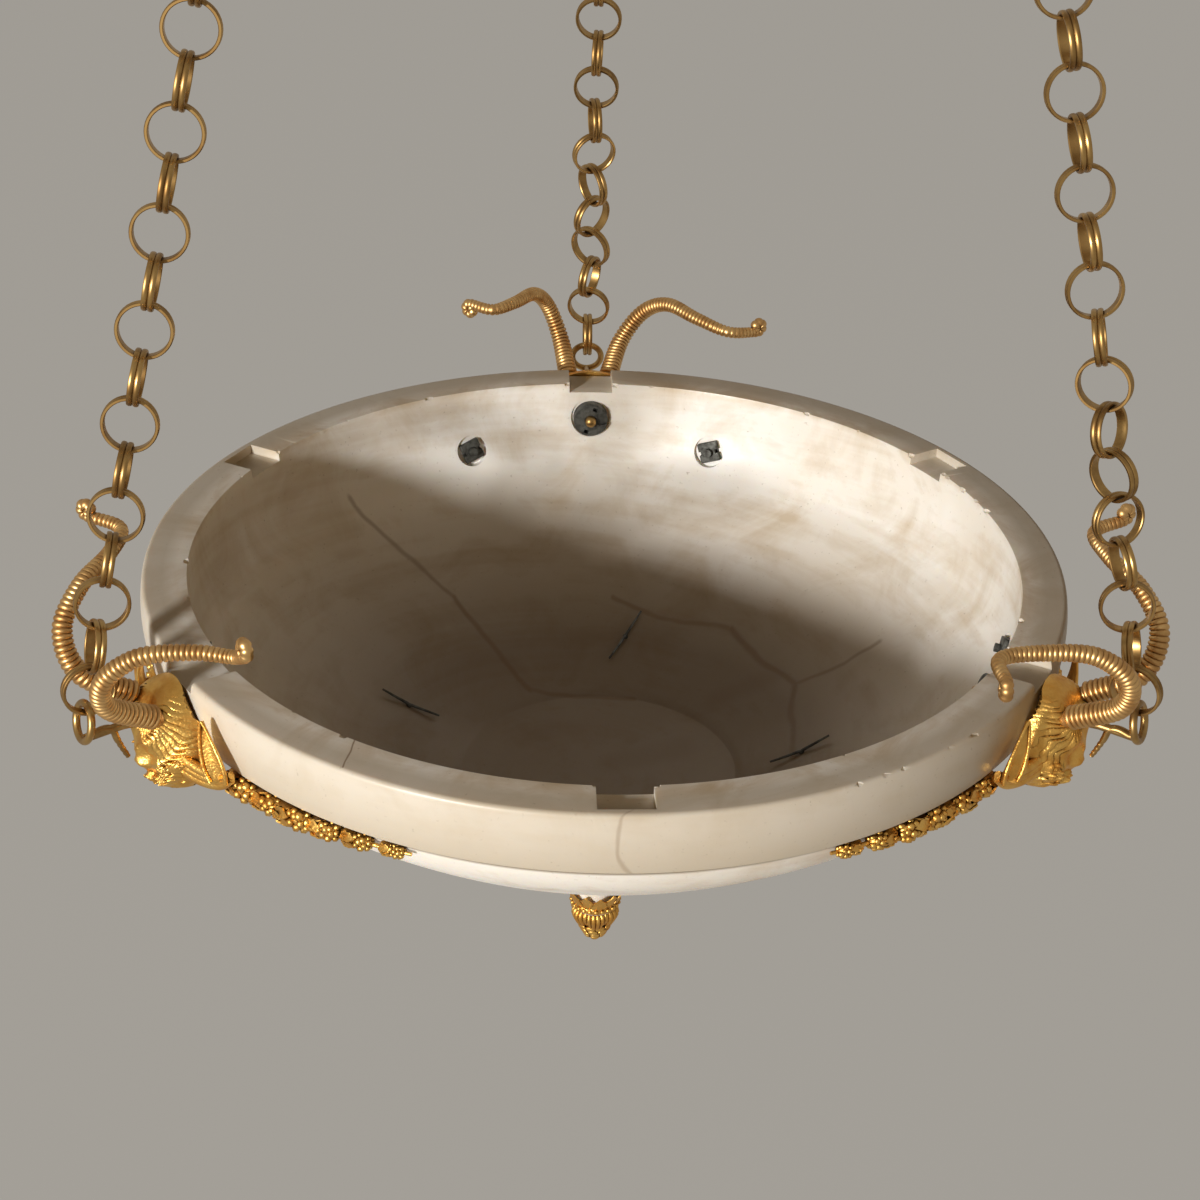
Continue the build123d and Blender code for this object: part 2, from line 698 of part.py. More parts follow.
# Notched square nuts on the sprays' studs
with BuildPart() as square_nuts:
    for azimuth in station_azimuth.values():
        for side in (1, -1):
            point, into = stud_axis(azimuth, side)
            seat = section_plane(point + into * square_nut_seat, into, around(azimuth + side * stud_turn))
            with BuildSketch(seat):
                Rectangle(square_nut_width, square_nut_width, rotation=square_nut_turn)
                thread = stud_radius + thread_clearance
                RegularPolygon(thread, bore_sides, major_radius=False, mode=Mode.SUBTRACT)
            extrude(amount=square_nut_height)
square_nuts.part.label = "square_nuts"
export_step(square_nuts.part, "parts/square_nuts.step")

# Wire split pins
with BuildPart() as split_pins:
    for azimuth, turn in pin_places:
        foot, normal, slope = pin_axes(azimuth)
        outer_end = foot - normal * pin_wall
        with BuildSketch(Plane(outer_end, z_dir=normal)):
            RegularPolygon(pin_radius, pin_sides)
        extrude(amount=pin_wall + pin_leg_radius + seat_gap)
        eye_middle = outer_end - normal * (pin_eye_inside + pin_radius)
        with BuildSketch(Plane(eye_middle, x_dir=normal, z_dir=around(azimuth))):
            ring_face(pin_eye_inside, 2 * pin_radius, pin_eye_sides)
        extrude(amount=pin_radius, both=True)
        leg = around(azimuth) * cos(radians(turn)) + slope * sin(radians(turn))
        leg_root = foot + normal * (pin_leg_radius + seat_gap)
        for sense in (1, -1):
            lift = radians(pin_leg_lift)
            direction = leg * sense * cos(lift) + normal * sin(lift)
            with BuildSketch(Plane(leg_root, z_dir=direction)):
                RegularPolygon(pin_leg_radius, pin_sides)
            extrude(amount=pin_leg_length)
split_pins.part.label = "split_pins"
export_step(split_pins.part, "parts/split_pins.step")

# Finial: rod, leaf collar, fluted cup and pine cone
collar_top = rim_top + foot_level
cup_top = collar_top - collar_height
cone_top = cup_top - cup_height
rod_foot = cone_top - cone_height * rod_in_cone
with BuildPart() as finial_rod:
    with BuildSketch(Plane.XY.offset(rod_foot)):
        RegularPolygon(rod_radius, bore_sides)
    extrude(amount=collar_top + rod_reach - rod_foot)
finial_rod.part.label = "finial_rod"
export_step(finial_rod.part, "parts/finial_rod.step")

with BuildPart() as finial_collar:
    for drop, share in collar_shape:
        with BuildSketch(Plane.XY.offset(collar_top - collar_height * drop)):
            RegularPolygon(finial_radius * share, finial_sides)
    loft(ruled=True)
    bore(Plane.XY.offset(cup_top), rod_radius + thread_clearance, collar_height)
finial_collar.part.label = "finial_collar"
export_step(finial_collar.part, "parts/finial_collar.step")


def fluted(radius):
    """Star outline with one rib to each flute."""
    points = []
    for step in range(2 * cup_flutes):
        angle = radians(180 * step / cup_flutes)
        reach = radius * (1 if step % 2 else flute_share)
        points.append((reach * cos(angle), reach * sin(angle)))
    Polygon(*points, align=None)


with BuildPart() as finial_cup:
    for drop, share in cup_shape:
        with BuildSketch(Plane.XY.offset(cup_top - cup_height * drop)):
            fluted(finial_radius * share)
    loft(ruled=True)
    bore(Plane.XY.offset(cone_top), rod_radius + thread_clearance, cup_height)
finial_cup.part.label = "finial_cup"
export_step(finial_cup.part, "parts/finial_cup.step")

with BuildPart() as pine_cone:
    for drop, share in cone_shape:
        with BuildSketch(Plane.XY.offset(cone_top - cone_height * drop)):
            RegularPolygon(finial_radius * share, finial_sides)
    loft(ruled=True)
    rod_pocket = Plane.XY.offset(rod_foot - swing_gap)
    bore(rod_pocket, rod_radius + thread_clearance, cone_top - rod_foot + swing_gap)
pine_cone.part.label = "pine_cone"
export_step(pine_cone.part, "parts/pine_cone.step")
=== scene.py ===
"""Looks of an alabaster dish light: bowl, gilt mounts, chains, crown and ceiling fitting."""

from __future__ import annotations

import logging
import math
import random
from dataclasses import dataclass
from enum import Enum

import bmesh
import bpy
from bmesh.types import BMEdge, BMesh, BMFace, BMVert
from bpy.types import Material, Node, NodeSocket, NodeTree, Object
from mathutils import Matrix, Quaternion, Vector

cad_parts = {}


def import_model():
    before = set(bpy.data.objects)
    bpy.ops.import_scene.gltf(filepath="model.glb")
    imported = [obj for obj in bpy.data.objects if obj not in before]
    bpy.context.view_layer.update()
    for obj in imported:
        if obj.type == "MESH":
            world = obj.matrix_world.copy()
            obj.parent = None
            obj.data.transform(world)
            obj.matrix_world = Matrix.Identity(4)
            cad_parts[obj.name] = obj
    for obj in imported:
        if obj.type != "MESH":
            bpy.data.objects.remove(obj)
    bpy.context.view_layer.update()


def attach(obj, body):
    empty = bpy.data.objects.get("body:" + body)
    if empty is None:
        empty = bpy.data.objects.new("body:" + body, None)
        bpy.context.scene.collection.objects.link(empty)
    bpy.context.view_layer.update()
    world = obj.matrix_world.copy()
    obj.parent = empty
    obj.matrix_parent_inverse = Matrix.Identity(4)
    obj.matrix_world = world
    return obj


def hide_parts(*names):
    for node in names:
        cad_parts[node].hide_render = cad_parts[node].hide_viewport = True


LOG = logging.getLogger("dish_light")
MM = 0.001
TURN = 2.0 * math.pi
GOLDEN_ANGLE = 2.39996
HANDS = (("a", 1.0), ("b", -1.0))
UPWARD = Vector((0.0, 0.0, 1.0))
Point = tuple[float, float]
Triple = tuple[float, float, float]


class Station(Enum):
    """Places of the masks round the rim, as azimuths in degrees."""

    BACK = 90.0
    LEFT = 210.0
    RIGHT = 330.0

    @property
    def label(self) -> str:
        """Name of the place as the part's nodes spell it."""
        return self.name.lower()


class Curl(Enum):
    """How a horn's tip ends, as the sense in which it rolls up."""

    UP = 1.0
    DOWN = -1.0


@dataclass(frozen=True)
class Layout:
    """Levels and radii that several pieces share, in millimetres and degrees."""

    rim_top: float = -883.249
    rim_radius: float = 250.0
    hook_reach: float = 45.2
    hook_rise: float = 4.0
    chain_lean: float = 13.4
    shank_level: float = -22.0
    foot_level: float = -236.0

    def out(self, azimuth: float) -> Vector:
        """Unit vector from the axis towards an azimuth."""
        return Vector((math.cos(math.radians(azimuth)), math.sin(math.radians(azimuth)), 0.0))

    def round(self, azimuth: float) -> Vector:
        """Unit vector along the rim at an azimuth."""
        return Vector((-math.sin(math.radians(azimuth)), math.cos(math.radians(azimuth)), 0.0))

    def station(self, azimuth: float) -> Matrix:
        """Frame on the rim's outer edge: X out, Y along the rim, Z up."""
        origin = self.out(azimuth) * self.rim_radius + Vector((0.0, 0.0, self.rim_top))
        return frame_of(self.out(azimuth), self.round(azimuth), origin)

    def along_chain(self, azimuth: float) -> Vector:
        """Unit vector up a chain."""
        lean = math.radians(self.chain_lean)
        return Vector((0.0, 0.0, math.cos(lean))) - self.out(azimuth) * math.sin(lean)

    def chain_face(self, azimuth: float) -> Vector:
        """Unit vector out of a chain, square to its run."""
        lean = math.radians(self.chain_lean)
        return self.out(azimuth) * math.cos(lean) + Vector((0.0, 0.0, math.sin(lean)))

    def point(self, radius: float, azimuth: float, level: float) -> Vector:
        """Point at a radius and azimuth, with its level counted from the rim's top."""
        return self.out(azimuth) * radius + Vector((0.0, 0.0, self.rim_top + level))


LAYOUT = Layout()


def frame_of(x_axis: Vector, y_axis: Vector, origin: Vector) -> Matrix:
    """Build a right-handed frame.

    Args:
        x_axis: Unit vector of the first axis.
        y_axis: Unit vector of the second axis.
        origin: Origin of the frame.

    Returns:
        Matrix that carries local points into the frame.
    """
    z_axis = x_axis.cross(y_axis)
    turn = Matrix((x_axis, y_axis, z_axis)).transposed().to_4x4()
    return Matrix.Translation(origin) @ turn


def facing(origin: Vector, normal: Vector, hint: Vector) -> Matrix:
    """Build a frame that faces along a normal.

    Args:
        origin: Origin of the frame.
        normal: Direction of the Z axis.
        hint: Direction that the X axis follows as far as it can.

    Returns:
        Matrix that carries local points into the frame.
    """
    z_axis = normal.normalized()
    x_axis = (hint - z_axis * hint.dot(z_axis)).normalized()
    return frame_of(x_axis, z_axis.cross(x_axis), origin)


def linear(colour: str) -> tuple[float, float, float, float]:
    """Turn an sRGB hex colour into linear light.

    Args:
        colour: Colour such as "#A5A19A".

    Returns:
        Red, green, blue and an alpha of 1.
    """
    parts = [int(colour[place : place + 2], 16) / 255.0 for place in (1, 3, 5)]
    red, green, blue = (p / 12.92 if p <= 0.04045 else ((p + 0.055) / 1.055) ** 2.4 for p in parts)
    return red, green, blue, 1.0


def add_node(tree: NodeTree, kind: str, inputs: dict | None = None, **settings: object) -> Node:
    """Add a node with its settings, values and links.

    Args:
        tree: Node tree that receives the node.
        kind: Type name of the node.
        inputs: Value or output socket for each input, by its name or number.
        settings: Properties of the node.

    Returns:
        The new node.
    """
    node = tree.nodes.new(kind)
    for name, value in settings.items():
        setattr(node, name, value)
    for key, value in (inputs or {}).items():
        if isinstance(value, NodeSocket):
            tree.links.new(value, node.inputs[key])
        else:
            node.inputs[key].default_value = value
    return node


def blank_material(name: str) -> tuple[Material, NodeTree]:
    """Start a material with an empty node tree.

    Args:
        name: Name of the material.

    Returns:
        The material and its node tree.
    """
    material = bpy.data.materials.new(name)
    material.use_nodes = True
    material.node_tree.nodes.clear()
    return material, material.node_tree


def arc(start: Point, middle: Point, end: Point, steps: int) -> list[Point]:
    """Points of a circular arc through three points of a profile.

    Args:
        start: First point.
        middle: A point on the arc between the ends.
        end: Last point.
        steps: Number of steps along the arc.

    Returns:
        The points from start to end.
    """
    x, y, radius = circle_through(start, middle, end)
    first = math.atan2(start[1] - y, start[0] - x)
    half = (math.atan2(middle[1] - y, middle[0] - x) - first + math.pi) % TURN - math.pi
    sweep_angle = (math.atan2(end[1] - y, end[0] - x) - first) % TURN
    if half < 0:
        sweep_angle -= TURN
    angles = [first + sweep_angle * step / steps for step in range(steps + 1)]
    return [(x + radius * math.cos(angle), y + radius * math.sin(angle)) for angle in angles]


def circle_through(first: Point, second: Point, third: Point) -> Triple:
    """Find the circle through three points of a profile.

    Args:
        first: First point.
        second: Second point.
        third: Third point.

    Returns:
        The centre's two coordinates and the radius.
    """
    (ax, ay), (bx, by), (cx, cy) = first, second, third
    twice_area = 2 * (ax * (by - cy) + bx * (cy - ay) + cx * (ay - by))
    a2, b2, c2 = ax**2 + ay**2, bx**2 + by**2, cx**2 + cy**2
    x = (a2 * (by - cy) + b2 * (cy - ay) + c2 * (ay - by)) / twice_area
    y = (a2 * (cx - bx) + b2 * (ax - cx) + c2 * (bx - ax)) / twice_area
    return x, y, math.hypot(ax - x, ay - y)


def bulged(start: Point, end: Point, sagitta: float) -> Point:
    """Find the middle point of an arc that bulges away from the axis and down.

    Args:
        start: Upper end of the arc.
        end: Lower end of the arc.
        sagitta: How far the arc stands off its chord.

    Returns:
        The middle point.
    """
    run, rise = start[0] - end[0], start[1] - end[1]
    chord = math.hypot(run, rise)
    middle = (start[0] + end[0]) / 2, (start[1] + end[1]) / 2
    return middle[0] + sagitta * rise / chord, middle[1] - sagitta * run / chord


def eased(points: list[Point], corner: int, reach: float, steps: int = 4) -> list[Point]:
    """Round one corner of a profile.

    Args:
        points: The profile.
        corner: Number of the corner's point.
        reach: How far along both sides the rounding starts.
        steps: Number of steps round the corner.

    Returns:
        The profile with the corner replaced by a short curve.
    """
    tip = Vector(points[corner])
    before = tip + (Vector(points[corner - 1]) - tip).normalized() * reach
    after = tip + (Vector(points[corner + 1]) - tip).normalized() * reach
    curve = []
    for step in range(steps + 1):
        share = step / steps
        place = before.lerp(tip, share).lerp(tip.lerp(after, share), share)
        curve.append((place.x, place.y))
    return points[:corner] + curve + points[corner + 1 :]


def spline(points: list[Vector], steps: int) -> list[Vector]:
    """Smooth curve through points.

    Args:
        points: Points that the curve passes.
        steps: Number of steps between each pair.

    Returns:
        The points of the curve.
    """
    ends = [points[0] * 2 - points[1], *points, points[-1] * 2 - points[-2]]
    curve = []
    for a, b, c, d in zip(ends, ends[1:], ends[2:], ends[3:]):
        for step in range(steps):
            s = step / steps
            square, cube = a * 2 - b * 5 + c * 4 - d, b * 3 - a - c * 3 + d
            curve.append(((b * 2) + (c - a) * s + square * s**2 + cube * s**3) / 2)
    return curve + [points[-1].copy()]


def even(points: list[Vector], count: int) -> list[Vector]:
    """Space points evenly along a curve.

    Args:
        points: Points of the curve.
        count: Number of points wanted.

    Returns:
        The evenly spaced points.
    """
    lengths = [0.0]
    for a, b in zip(points, points[1:]):
        lengths.append(lengths[-1] + (b - a).length)
    result, place = [], 0
    for step in range(count):
        goal = lengths[-1] * step / (count - 1)
        while place < len(points) - 2 and lengths[place + 1] < goal:
            place += 1
        span = max(lengths[place + 1] - lengths[place], 1e-9)
        result.append(points[place].lerp(points[place + 1], min(1.0, (goal - lengths[place]) / span)))
    return result


def path_places(points: list[Vector], sizes: list[Point], hint: Vector) -> list[Matrix]:
    """Matrices that put a unit circle across each point of a path.

    Args:
        points: Points of the path.
        sizes: Half width along the hint and half height across it, for each point.
        hint: Direction of the first section's X axis.

    Returns:
        One matrix for each point, carried along the path without twisting.
    """
    places, side = [], hint
    for number, point in enumerate(points):
        ahead = points[min(number + 1, len(points) - 1)]
        behind = points[max(number - 1, 0)]
        run = (ahead - behind).normalized()
        side = (side - run * side.dot(run)).normalized()
        wide, tall = sizes[number]
        scale = Matrix.Diagonal((wide, tall, (wide + tall) / 2, 1.0))
        places.append(frame_of(side, run.cross(side), point) @ scale)
    return places


def sweep(bm: BMesh, places: list[Matrix], sides: int) -> list[BMVert]:
    """Carry a circle through a row of places, skin it and close its ends.

    Args:
        bm: Mesh that receives the skin.
        places: Matrices that put the unit circle at each section.
        sides: Points round the circle.

    Returns:
        The new vertices, section by section.
    """
    ring = bmesh.ops.create_circle(bm, cap_ends=True, segments=sides, radius=1.0, matrix=places[0])["verts"]
    edges = list({edge for vert in ring for edge in vert.link_edges})
    verts = list(ring)
    for before, after in zip(places, places[1:]):
        grown = bmesh.ops.extrude_edge_only(bm, edges=edges)["geom"]
        ring = [item for item in grown if isinstance(item, BMVert)]
        fresh = set(ring)
        edges = [e for e in grown if isinstance(e, BMEdge) and fresh.issuperset(e.verts)]
        bmesh.ops.transform(bm, matrix=after @ before.inverted(), verts=ring)
        verts += ring
    bmesh.ops.edgeloop_fill(bm, edges=edges)
    return verts


def lathe(bm: BMesh, profile: list[Point], steps: int, closed: bool = False) -> list[BMVert]:
    """Turn a profile of radius and level round the Z axis.

    Args:
        bm: Mesh that receives the turned shape.
        profile: Points as radius and level.
        steps: Number of steps round the axis.
        closed: Whether the profile joins up with its own start, as a ring's section does.

    Returns:
        The new vertices.
    """
    known = set(bm.verts)
    line = [bm.verts.new((radius, 0.0, level)) for radius, level in profile]
    pairs = list(zip(line, line[1:])) + ([(line[-1], line[0])] if closed else [])
    edges = [bm.edges.new(pair) for pair in pairs]
    bmesh.ops.spin(bm, geom=line + edges, cent=(0, 0, 0), axis=(0, 0, 1), angle=TURN, steps=steps, use_merge=True)
    return [vert for vert in bm.verts if vert not in known]


def move(bm: BMesh, verts: list[BMVert], matrix: Matrix) -> None:
    """Put vertices in place by a matrix."""
    bmesh.ops.transform(bm, matrix=matrix, verts=verts)


def leaf(
    bm: BMesh,
    place: Matrix,
    length: float,
    width: float,
    cup: float,
    droop: float,
    thickness: float,
    lobes: int = 0,
) -> None:
    """Add one leaf that grows along its frame's X axis and faces along Z.

    Args:
        bm: Mesh that receives the leaf.
        place: Frame at the leaf's root.
        length: Length from root to tip.
        width: Greatest width.
        cup: How far its edges rise over its midrib.
        droop: How far its tip falls below its root.
        thickness: Thickness of the metal.
        lobes: Number of lobes along each edge, or none for a plain edge.
    """
    grid = bmesh.ops.create_grid(bm, x_segments=10, y_segments=6, size=1.0)["verts"]
    for vert in grid:
        share, across = (vert.co.x + 1) / 2, vert.co.y
        half = width / 2 * math.sin(math.pi * (0.1 + 0.88 * share) ** 0.8) ** 0.8
        if lobes:
            half *= 0.86 + 0.14 * math.cos(TURN * lobes * share)
        rise = cup * (abs(across) ** 1.6) * math.sin(math.pi * min(1.0, 0.15 + share)) - droop * share**2
        vert.co = Vector((length * share, across * half, rise))
    faces = list({face for vert in grid for face in vert.link_faces})
    shell = bmesh.ops.solidify(bm, geom=faces, thickness=thickness)["geom"]
    verts = {vert for item in shell if isinstance(item, BMFace) for vert in item.verts} | set(grid)
    move(bm, list(verts), place)


def carve(bm: BMesh, cutters: BMesh) -> BMesh:
    """Cut one closed mesh out of another.

    Args:
        bm: Mesh that is cut.
        cutters: Closed shapes that are taken away.

    Returns:
        A new mesh with what is left.
    """
    objects = []
    for name, source in (("carved", bm), ("cutters", cutters)):
        bmesh.ops.recalc_face_normals(source, faces=source.faces)
        mesh = bpy.data.meshes.new(name)
        source.to_mesh(mesh)
        source.free()
        objects.append(bpy.data.objects.new(name, mesh))
        bpy.context.scene.collection.objects.link(objects[-1])
    cut = objects[0].modifiers.new("cut", "BOOLEAN")
    cut.operation = "DIFFERENCE"
    cut.solver = "EXACT"
    cut.use_self = True
    cut.object = objects[1]
    result = bmesh.new()
    result.from_object(objects[0], bpy.context.evaluated_depsgraph_get())
    for item in objects:
        mesh = item.data
        bpy.data.objects.remove(item)
        bpy.data.meshes.remove(mesh)
    return result


def add_copy(bm: BMesh, source: BMesh, place: Matrix) -> None:
    """Add a copy of a small mesh at a place.

    Args:
        bm: Mesh that receives the copy.
        source: Mesh that is copied.
        place: Frame of the copy.
    """
    mesh = bpy.data.meshes.new("copy")
    source.to_mesh(mesh)
    known = set(bm.verts)
    bm.from_mesh(mesh)
    bpy.data.meshes.remove(mesh)
    move(bm, [vert for vert in bm.verts if vert not in known], place)


def round_section(middle: float, bar: float, sides: int) -> list[Point]:
    """Draw the section of a ring of round bar.

    Args:
        middle: Radius of the ring to the middle of its bar.
        bar: Radius of the bar.
        sides: Number of points round the bar.

    Returns:
        Points as radius and level.
    """
    angles = [TURN * number / sides for number in range(sides)]
    return [(middle + bar * math.cos(angle), bar * math.sin(angle)) for angle in angles]


@dataclass(frozen=True)
class Piece:
    """Name, body, nodes, finish and slot of one finished piece."""

    name: str
    body: str
    nodes: tuple[str, ...]
    material: Material
    slot: str
    sharp: float = 38.0

    def make(self, bm: BMesh) -> Object:
        """Turn a mesh in millimetres into an object in the part's frame.

        Args:
            bm: Finished mesh, which is used up.

        Returns:
            The object, which stands for its nodes.
        """
        bmesh.ops.remove_doubles(bm, verts=bm.verts, dist=0.002)
        bmesh.ops.recalc_face_normals(bm, faces=bm.faces)
        bmesh.ops.scale(bm, vec=(MM, MM, MM), verts=bm.verts)
        mesh = bpy.data.meshes.new(self.name)
        bm.to_mesh(mesh)
        bm.free()
        mesh.shade_smooth()
        mesh.set_sharp_from_angle(angle=math.radians(self.sharp))
        mesh.materials.append(self.material)
        obj = bpy.data.objects.new(self.name, mesh)
        bpy.context.scene.collection.objects.link(obj)
        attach(obj, self.body)
        if self.nodes:
            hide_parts(*self.nodes)
        LOG.info("%s: %d faces", self.name, len(mesh.polygons))
        return obj


@dataclass(frozen=True)
class Vein:
    """One stretch of a vein, crack or stain in the stone, by radius and azimuth."""

    start: Point
    end: Point
    width: float
    strength: float


@dataclass(frozen=True)
class Alabaster:
    """Turned and polished alabaster: cream, cloudy and a little translucent, with brown veins, handled edges, dust
    and painted shade in its depth and painted shade on and under its band.
    """

    white: str = "#F8F5EF"
    cream: str = "#EEE7DB"
    tan: str = "#C2AA85"
    # Dark brown of the bowl's depth: partly dust, partly painted shade.
    aged: str = "#6A4F2A"
    # Greyer tone painted on the outside of the rim's band as shade.
    handled: str = "#C4B9A6"
    # Brown of the specks, also painted as a shadow line in the seam under the band.
    stain: str = "#7C684A"
    vein: str = "#7A5A34"
    cloud_mm: float = 95.0
    band_mm: float = 24.0
    patch_mm: float = 48.0
    speck_mm: float = 2.4
    wobble_mm: float = 3.2
    sway_mm: float = 45.0

    def veins(self) -> list[Vein]:
        """List the veins, cracks and stains, seen in plan.

        Returns:
            The stretches, each by radius in millimetres and azimuth in degrees.
        """
        return [
            Vein((214, 134), (150, 124), 2.8, 0.5),
            Vein((150, 124), (85, 116), 3.0, 0.6),
            Vein((85, 116), (80, 73), 2.4, 0.45),
            Vein((137, 85), (132, 51), 2.4, 0.5),
            Vein((132, 51), (126, 22), 3.0, 0.65),
            Vein((126, 22), (110, 351), 3.2, 0.7),
            Vein((126, 22), (170, 16), 2.6, 0.5),
            Vein((250.5, 268.6), (244.5, 270.6), 0.9, 0.32),
            Vein((226, 236), (246, 238), 0.7, 0.8),
            Vein((62, 262), (50, 285), 15.0, 0.32),
            Vein((40, 300), (66, 318), 13.0, 0.3),
            Vein((20, 60), (58, 30), 14.0, 0.2),
            Vein((95, 40), (120, 30), 12.0, 0.22),
        ]

    def material(self) -> Material:
        """Build the stone's material.

        Returns:
            The material.
        """
        material, tree = blank_material("polished_alabaster")
        coords = add_node(tree, "ShaderNodeTexCoord").outputs["Object"]
        axes = add_node(tree, "ShaderNodeSeparateXYZ", {0: coords}).outputs
        plan = add_node(tree, "ShaderNodeCombineXYZ", {0: axes[0], 1: axes[1]}).outputs[0]
        tone = self.toned(tree, coords, axes[2], plan)
        sway = {"Vector": coords, "Scale": 1 / (self.sway_mm * MM), "Detail": 2.5, "Roughness": 0.45}
        wobble = add_node(tree, "ShaderNodeTexNoise", sway).outputs["Color"]
        half = {0: wobble, 1: (0.5, 0.5, 0.5)}
        centred = add_node(tree, "ShaderNodeVectorMath", half, operation="SUBTRACT").outputs[0]
        scale = 4 * self.wobble_mm * MM
        sized = {0: centred, 1: (scale, scale, 0.0)}
        shift = add_node(tree, "ShaderNodeVectorMath", sized, operation="MULTIPLY").outputs[0]
        bent = add_node(tree, "ShaderNodeVectorMath", {0: plan, 1: shift}, operation="ADD").outputs[0]
        lines = None
        for vein in self.veins():
            mark = self.line_mark(tree, bent, vein)
            if lines is not None:
                mark = add_node(tree, "ShaderNodeMath", {0: lines, 1: mark}, operation="MAXIMUM").outputs[0]
            lines = mark
        drawn = {0: lines, 6: tone, 7: linear(self.vein)}
        veined = add_node(tree, "ShaderNodeMix", drawn, data_type="RGBA").outputs[2]
        fine = {"Vector": coords, "Scale": 1 / (self.speck_mm * MM), "Detail": 3.0, "Roughness": 0.55}
        grain = add_node(tree, "ShaderNodeTexNoise", fine).outputs["Fac"]
        dots = {"Value": grain, "From Min": 0.66, "From Max": 0.78, "To Max": 0.4}
        speck = add_node(tree, "ShaderNodeMapRange", dots).outputs[0]
        dotted = {0: speck, 6: veined, 7: linear(self.stain)}
        colour = add_node(tree, "ShaderNodeMix", dotted, data_type="RGBA").outputs[2]
        gloss = add_node(tree, "ShaderNodeMapRange", {"Value": grain, "To Min": 0.3, "To Max": 0.5}).outputs[0]
        bump = add_node(tree, "ShaderNodeBump", {"Strength": 0.08, "Distance": 0.0005, "Height": grain}).outputs[0]
        inputs = {"Base Color": colour, "Roughness": gloss, "IOR": 1.52, "Normal": bump}
        inputs |= {"Subsurface Weight": 0.25, "Subsurface Radius": (1.0, 0.7, 0.42), "Subsurface Scale": 0.008}
        stone = add_node(tree, "ShaderNodeBsdfPrincipled", inputs)
        add_node(tree, "ShaderNodeOutputMaterial", {"Surface": stone.outputs[0]})
        return material

    def toned(self, tree: NodeTree, coords: NodeSocket, height: NodeSocket, plan: NodeSocket) -> NodeSocket:
        """Mix the stone's clouds, the bands that turning laid bare and the handled rim, then add dust and painted
        shade.

        Args:
            tree: Node tree of the stone.
            coords: Coordinates of the bowl.
            height: Their height.
            plan: Their place in plan.

        Returns:
            Socket with the colour of the stone, with its dust and painted shade.
        """
        clouds = {"Vector": coords, "Scale": 1 / (self.cloud_mm * MM), "Detail": 4.0, "Roughness": 0.5}
        clouds["Distortion"] = 0.5
        cloud = add_node(tree, "ShaderNodeTexNoise", clouds).outputs["Fac"]
        share = add_node(tree, "ShaderNodeMapRange", {"Value": cloud, "From Min": 0.36, "From Max": 0.66}).outputs[0]
        tones = {0: share, 6: linear(self.white), 7: linear(self.cream)}
        base = add_node(tree, "ShaderNodeMix", tones, data_type="RGBA").outputs[2]
        reach = add_node(tree, "ShaderNodeVectorMath", {0: plan}, operation="LENGTH").outputs["Value"]
        turned = add_node(tree, "ShaderNodeCombineXYZ", {0: reach, 1: height}).outputs[0]
        slight = add_node(tree, "ShaderNodeVectorMath", {0: coords, 3: 0.16}, operation="SCALE").outputs[0]
        banded = add_node(tree, "ShaderNodeVectorMath", {0: turned, 1: slight}, operation="ADD").outputs[0]
        bands = {"Vector": banded, "Scale": 1 / (self.band_mm * MM), "Detail": 4.0, "Roughness": 0.6}
        band = add_node(tree, "ShaderNodeTexNoise", bands).outputs["Fac"]
        patches = {"Vector": coords, "Scale": 1 / (self.patch_mm * MM), "Detail": 6.0, "Roughness": 0.6}
        patches["Distortion"] = 0.9
        patch = add_node(tree, "ShaderNodeTexNoise", patches).outputs["Fac"]
        both = add_node(tree, "ShaderNodeMath", {0: band, 1: patch}, operation="ADD").outputs[0]
        worn = {"Value": both, "From Min": 0.95, "From Max": 1.3, "To Max": 0.6}
        tan_share = add_node(tree, "ShaderNodeMapRange", worn).outputs[0]
        tanned = {0: tan_share, 6: base, 7: linear(self.tan)}
        toned = add_node(tree, "ShaderNodeMix", tanned, data_type="RGBA").outputs[2]
        top = LAYOUT.rim_top * MM
        edge = {"Value": height, "From Min": top - 0.004, "From Max": top - 0.0008}
        rim = add_node(tree, "ShaderNodeMapRange", edge).outputs[0]
        dirt = {"Value": patch, "From Min": 0.42, "From Max": 0.68, "To Min": 0.05, "To Max": 0.6}
        grime = add_node(tree, "ShaderNodeMapRange", dirt).outputs[0]
        handled = add_node(tree, "ShaderNodeMath", {0: rim, 1: grime}, operation="MULTIPLY").outputs[0]
        rimmed = {0: handled, 6: toned, 7: linear(self.tan)}
        colour = add_node(tree, "ShaderNodeMix", rimmed, data_type="RGBA").outputs[2]
        return self.weathered(tree, colour, height, reach)

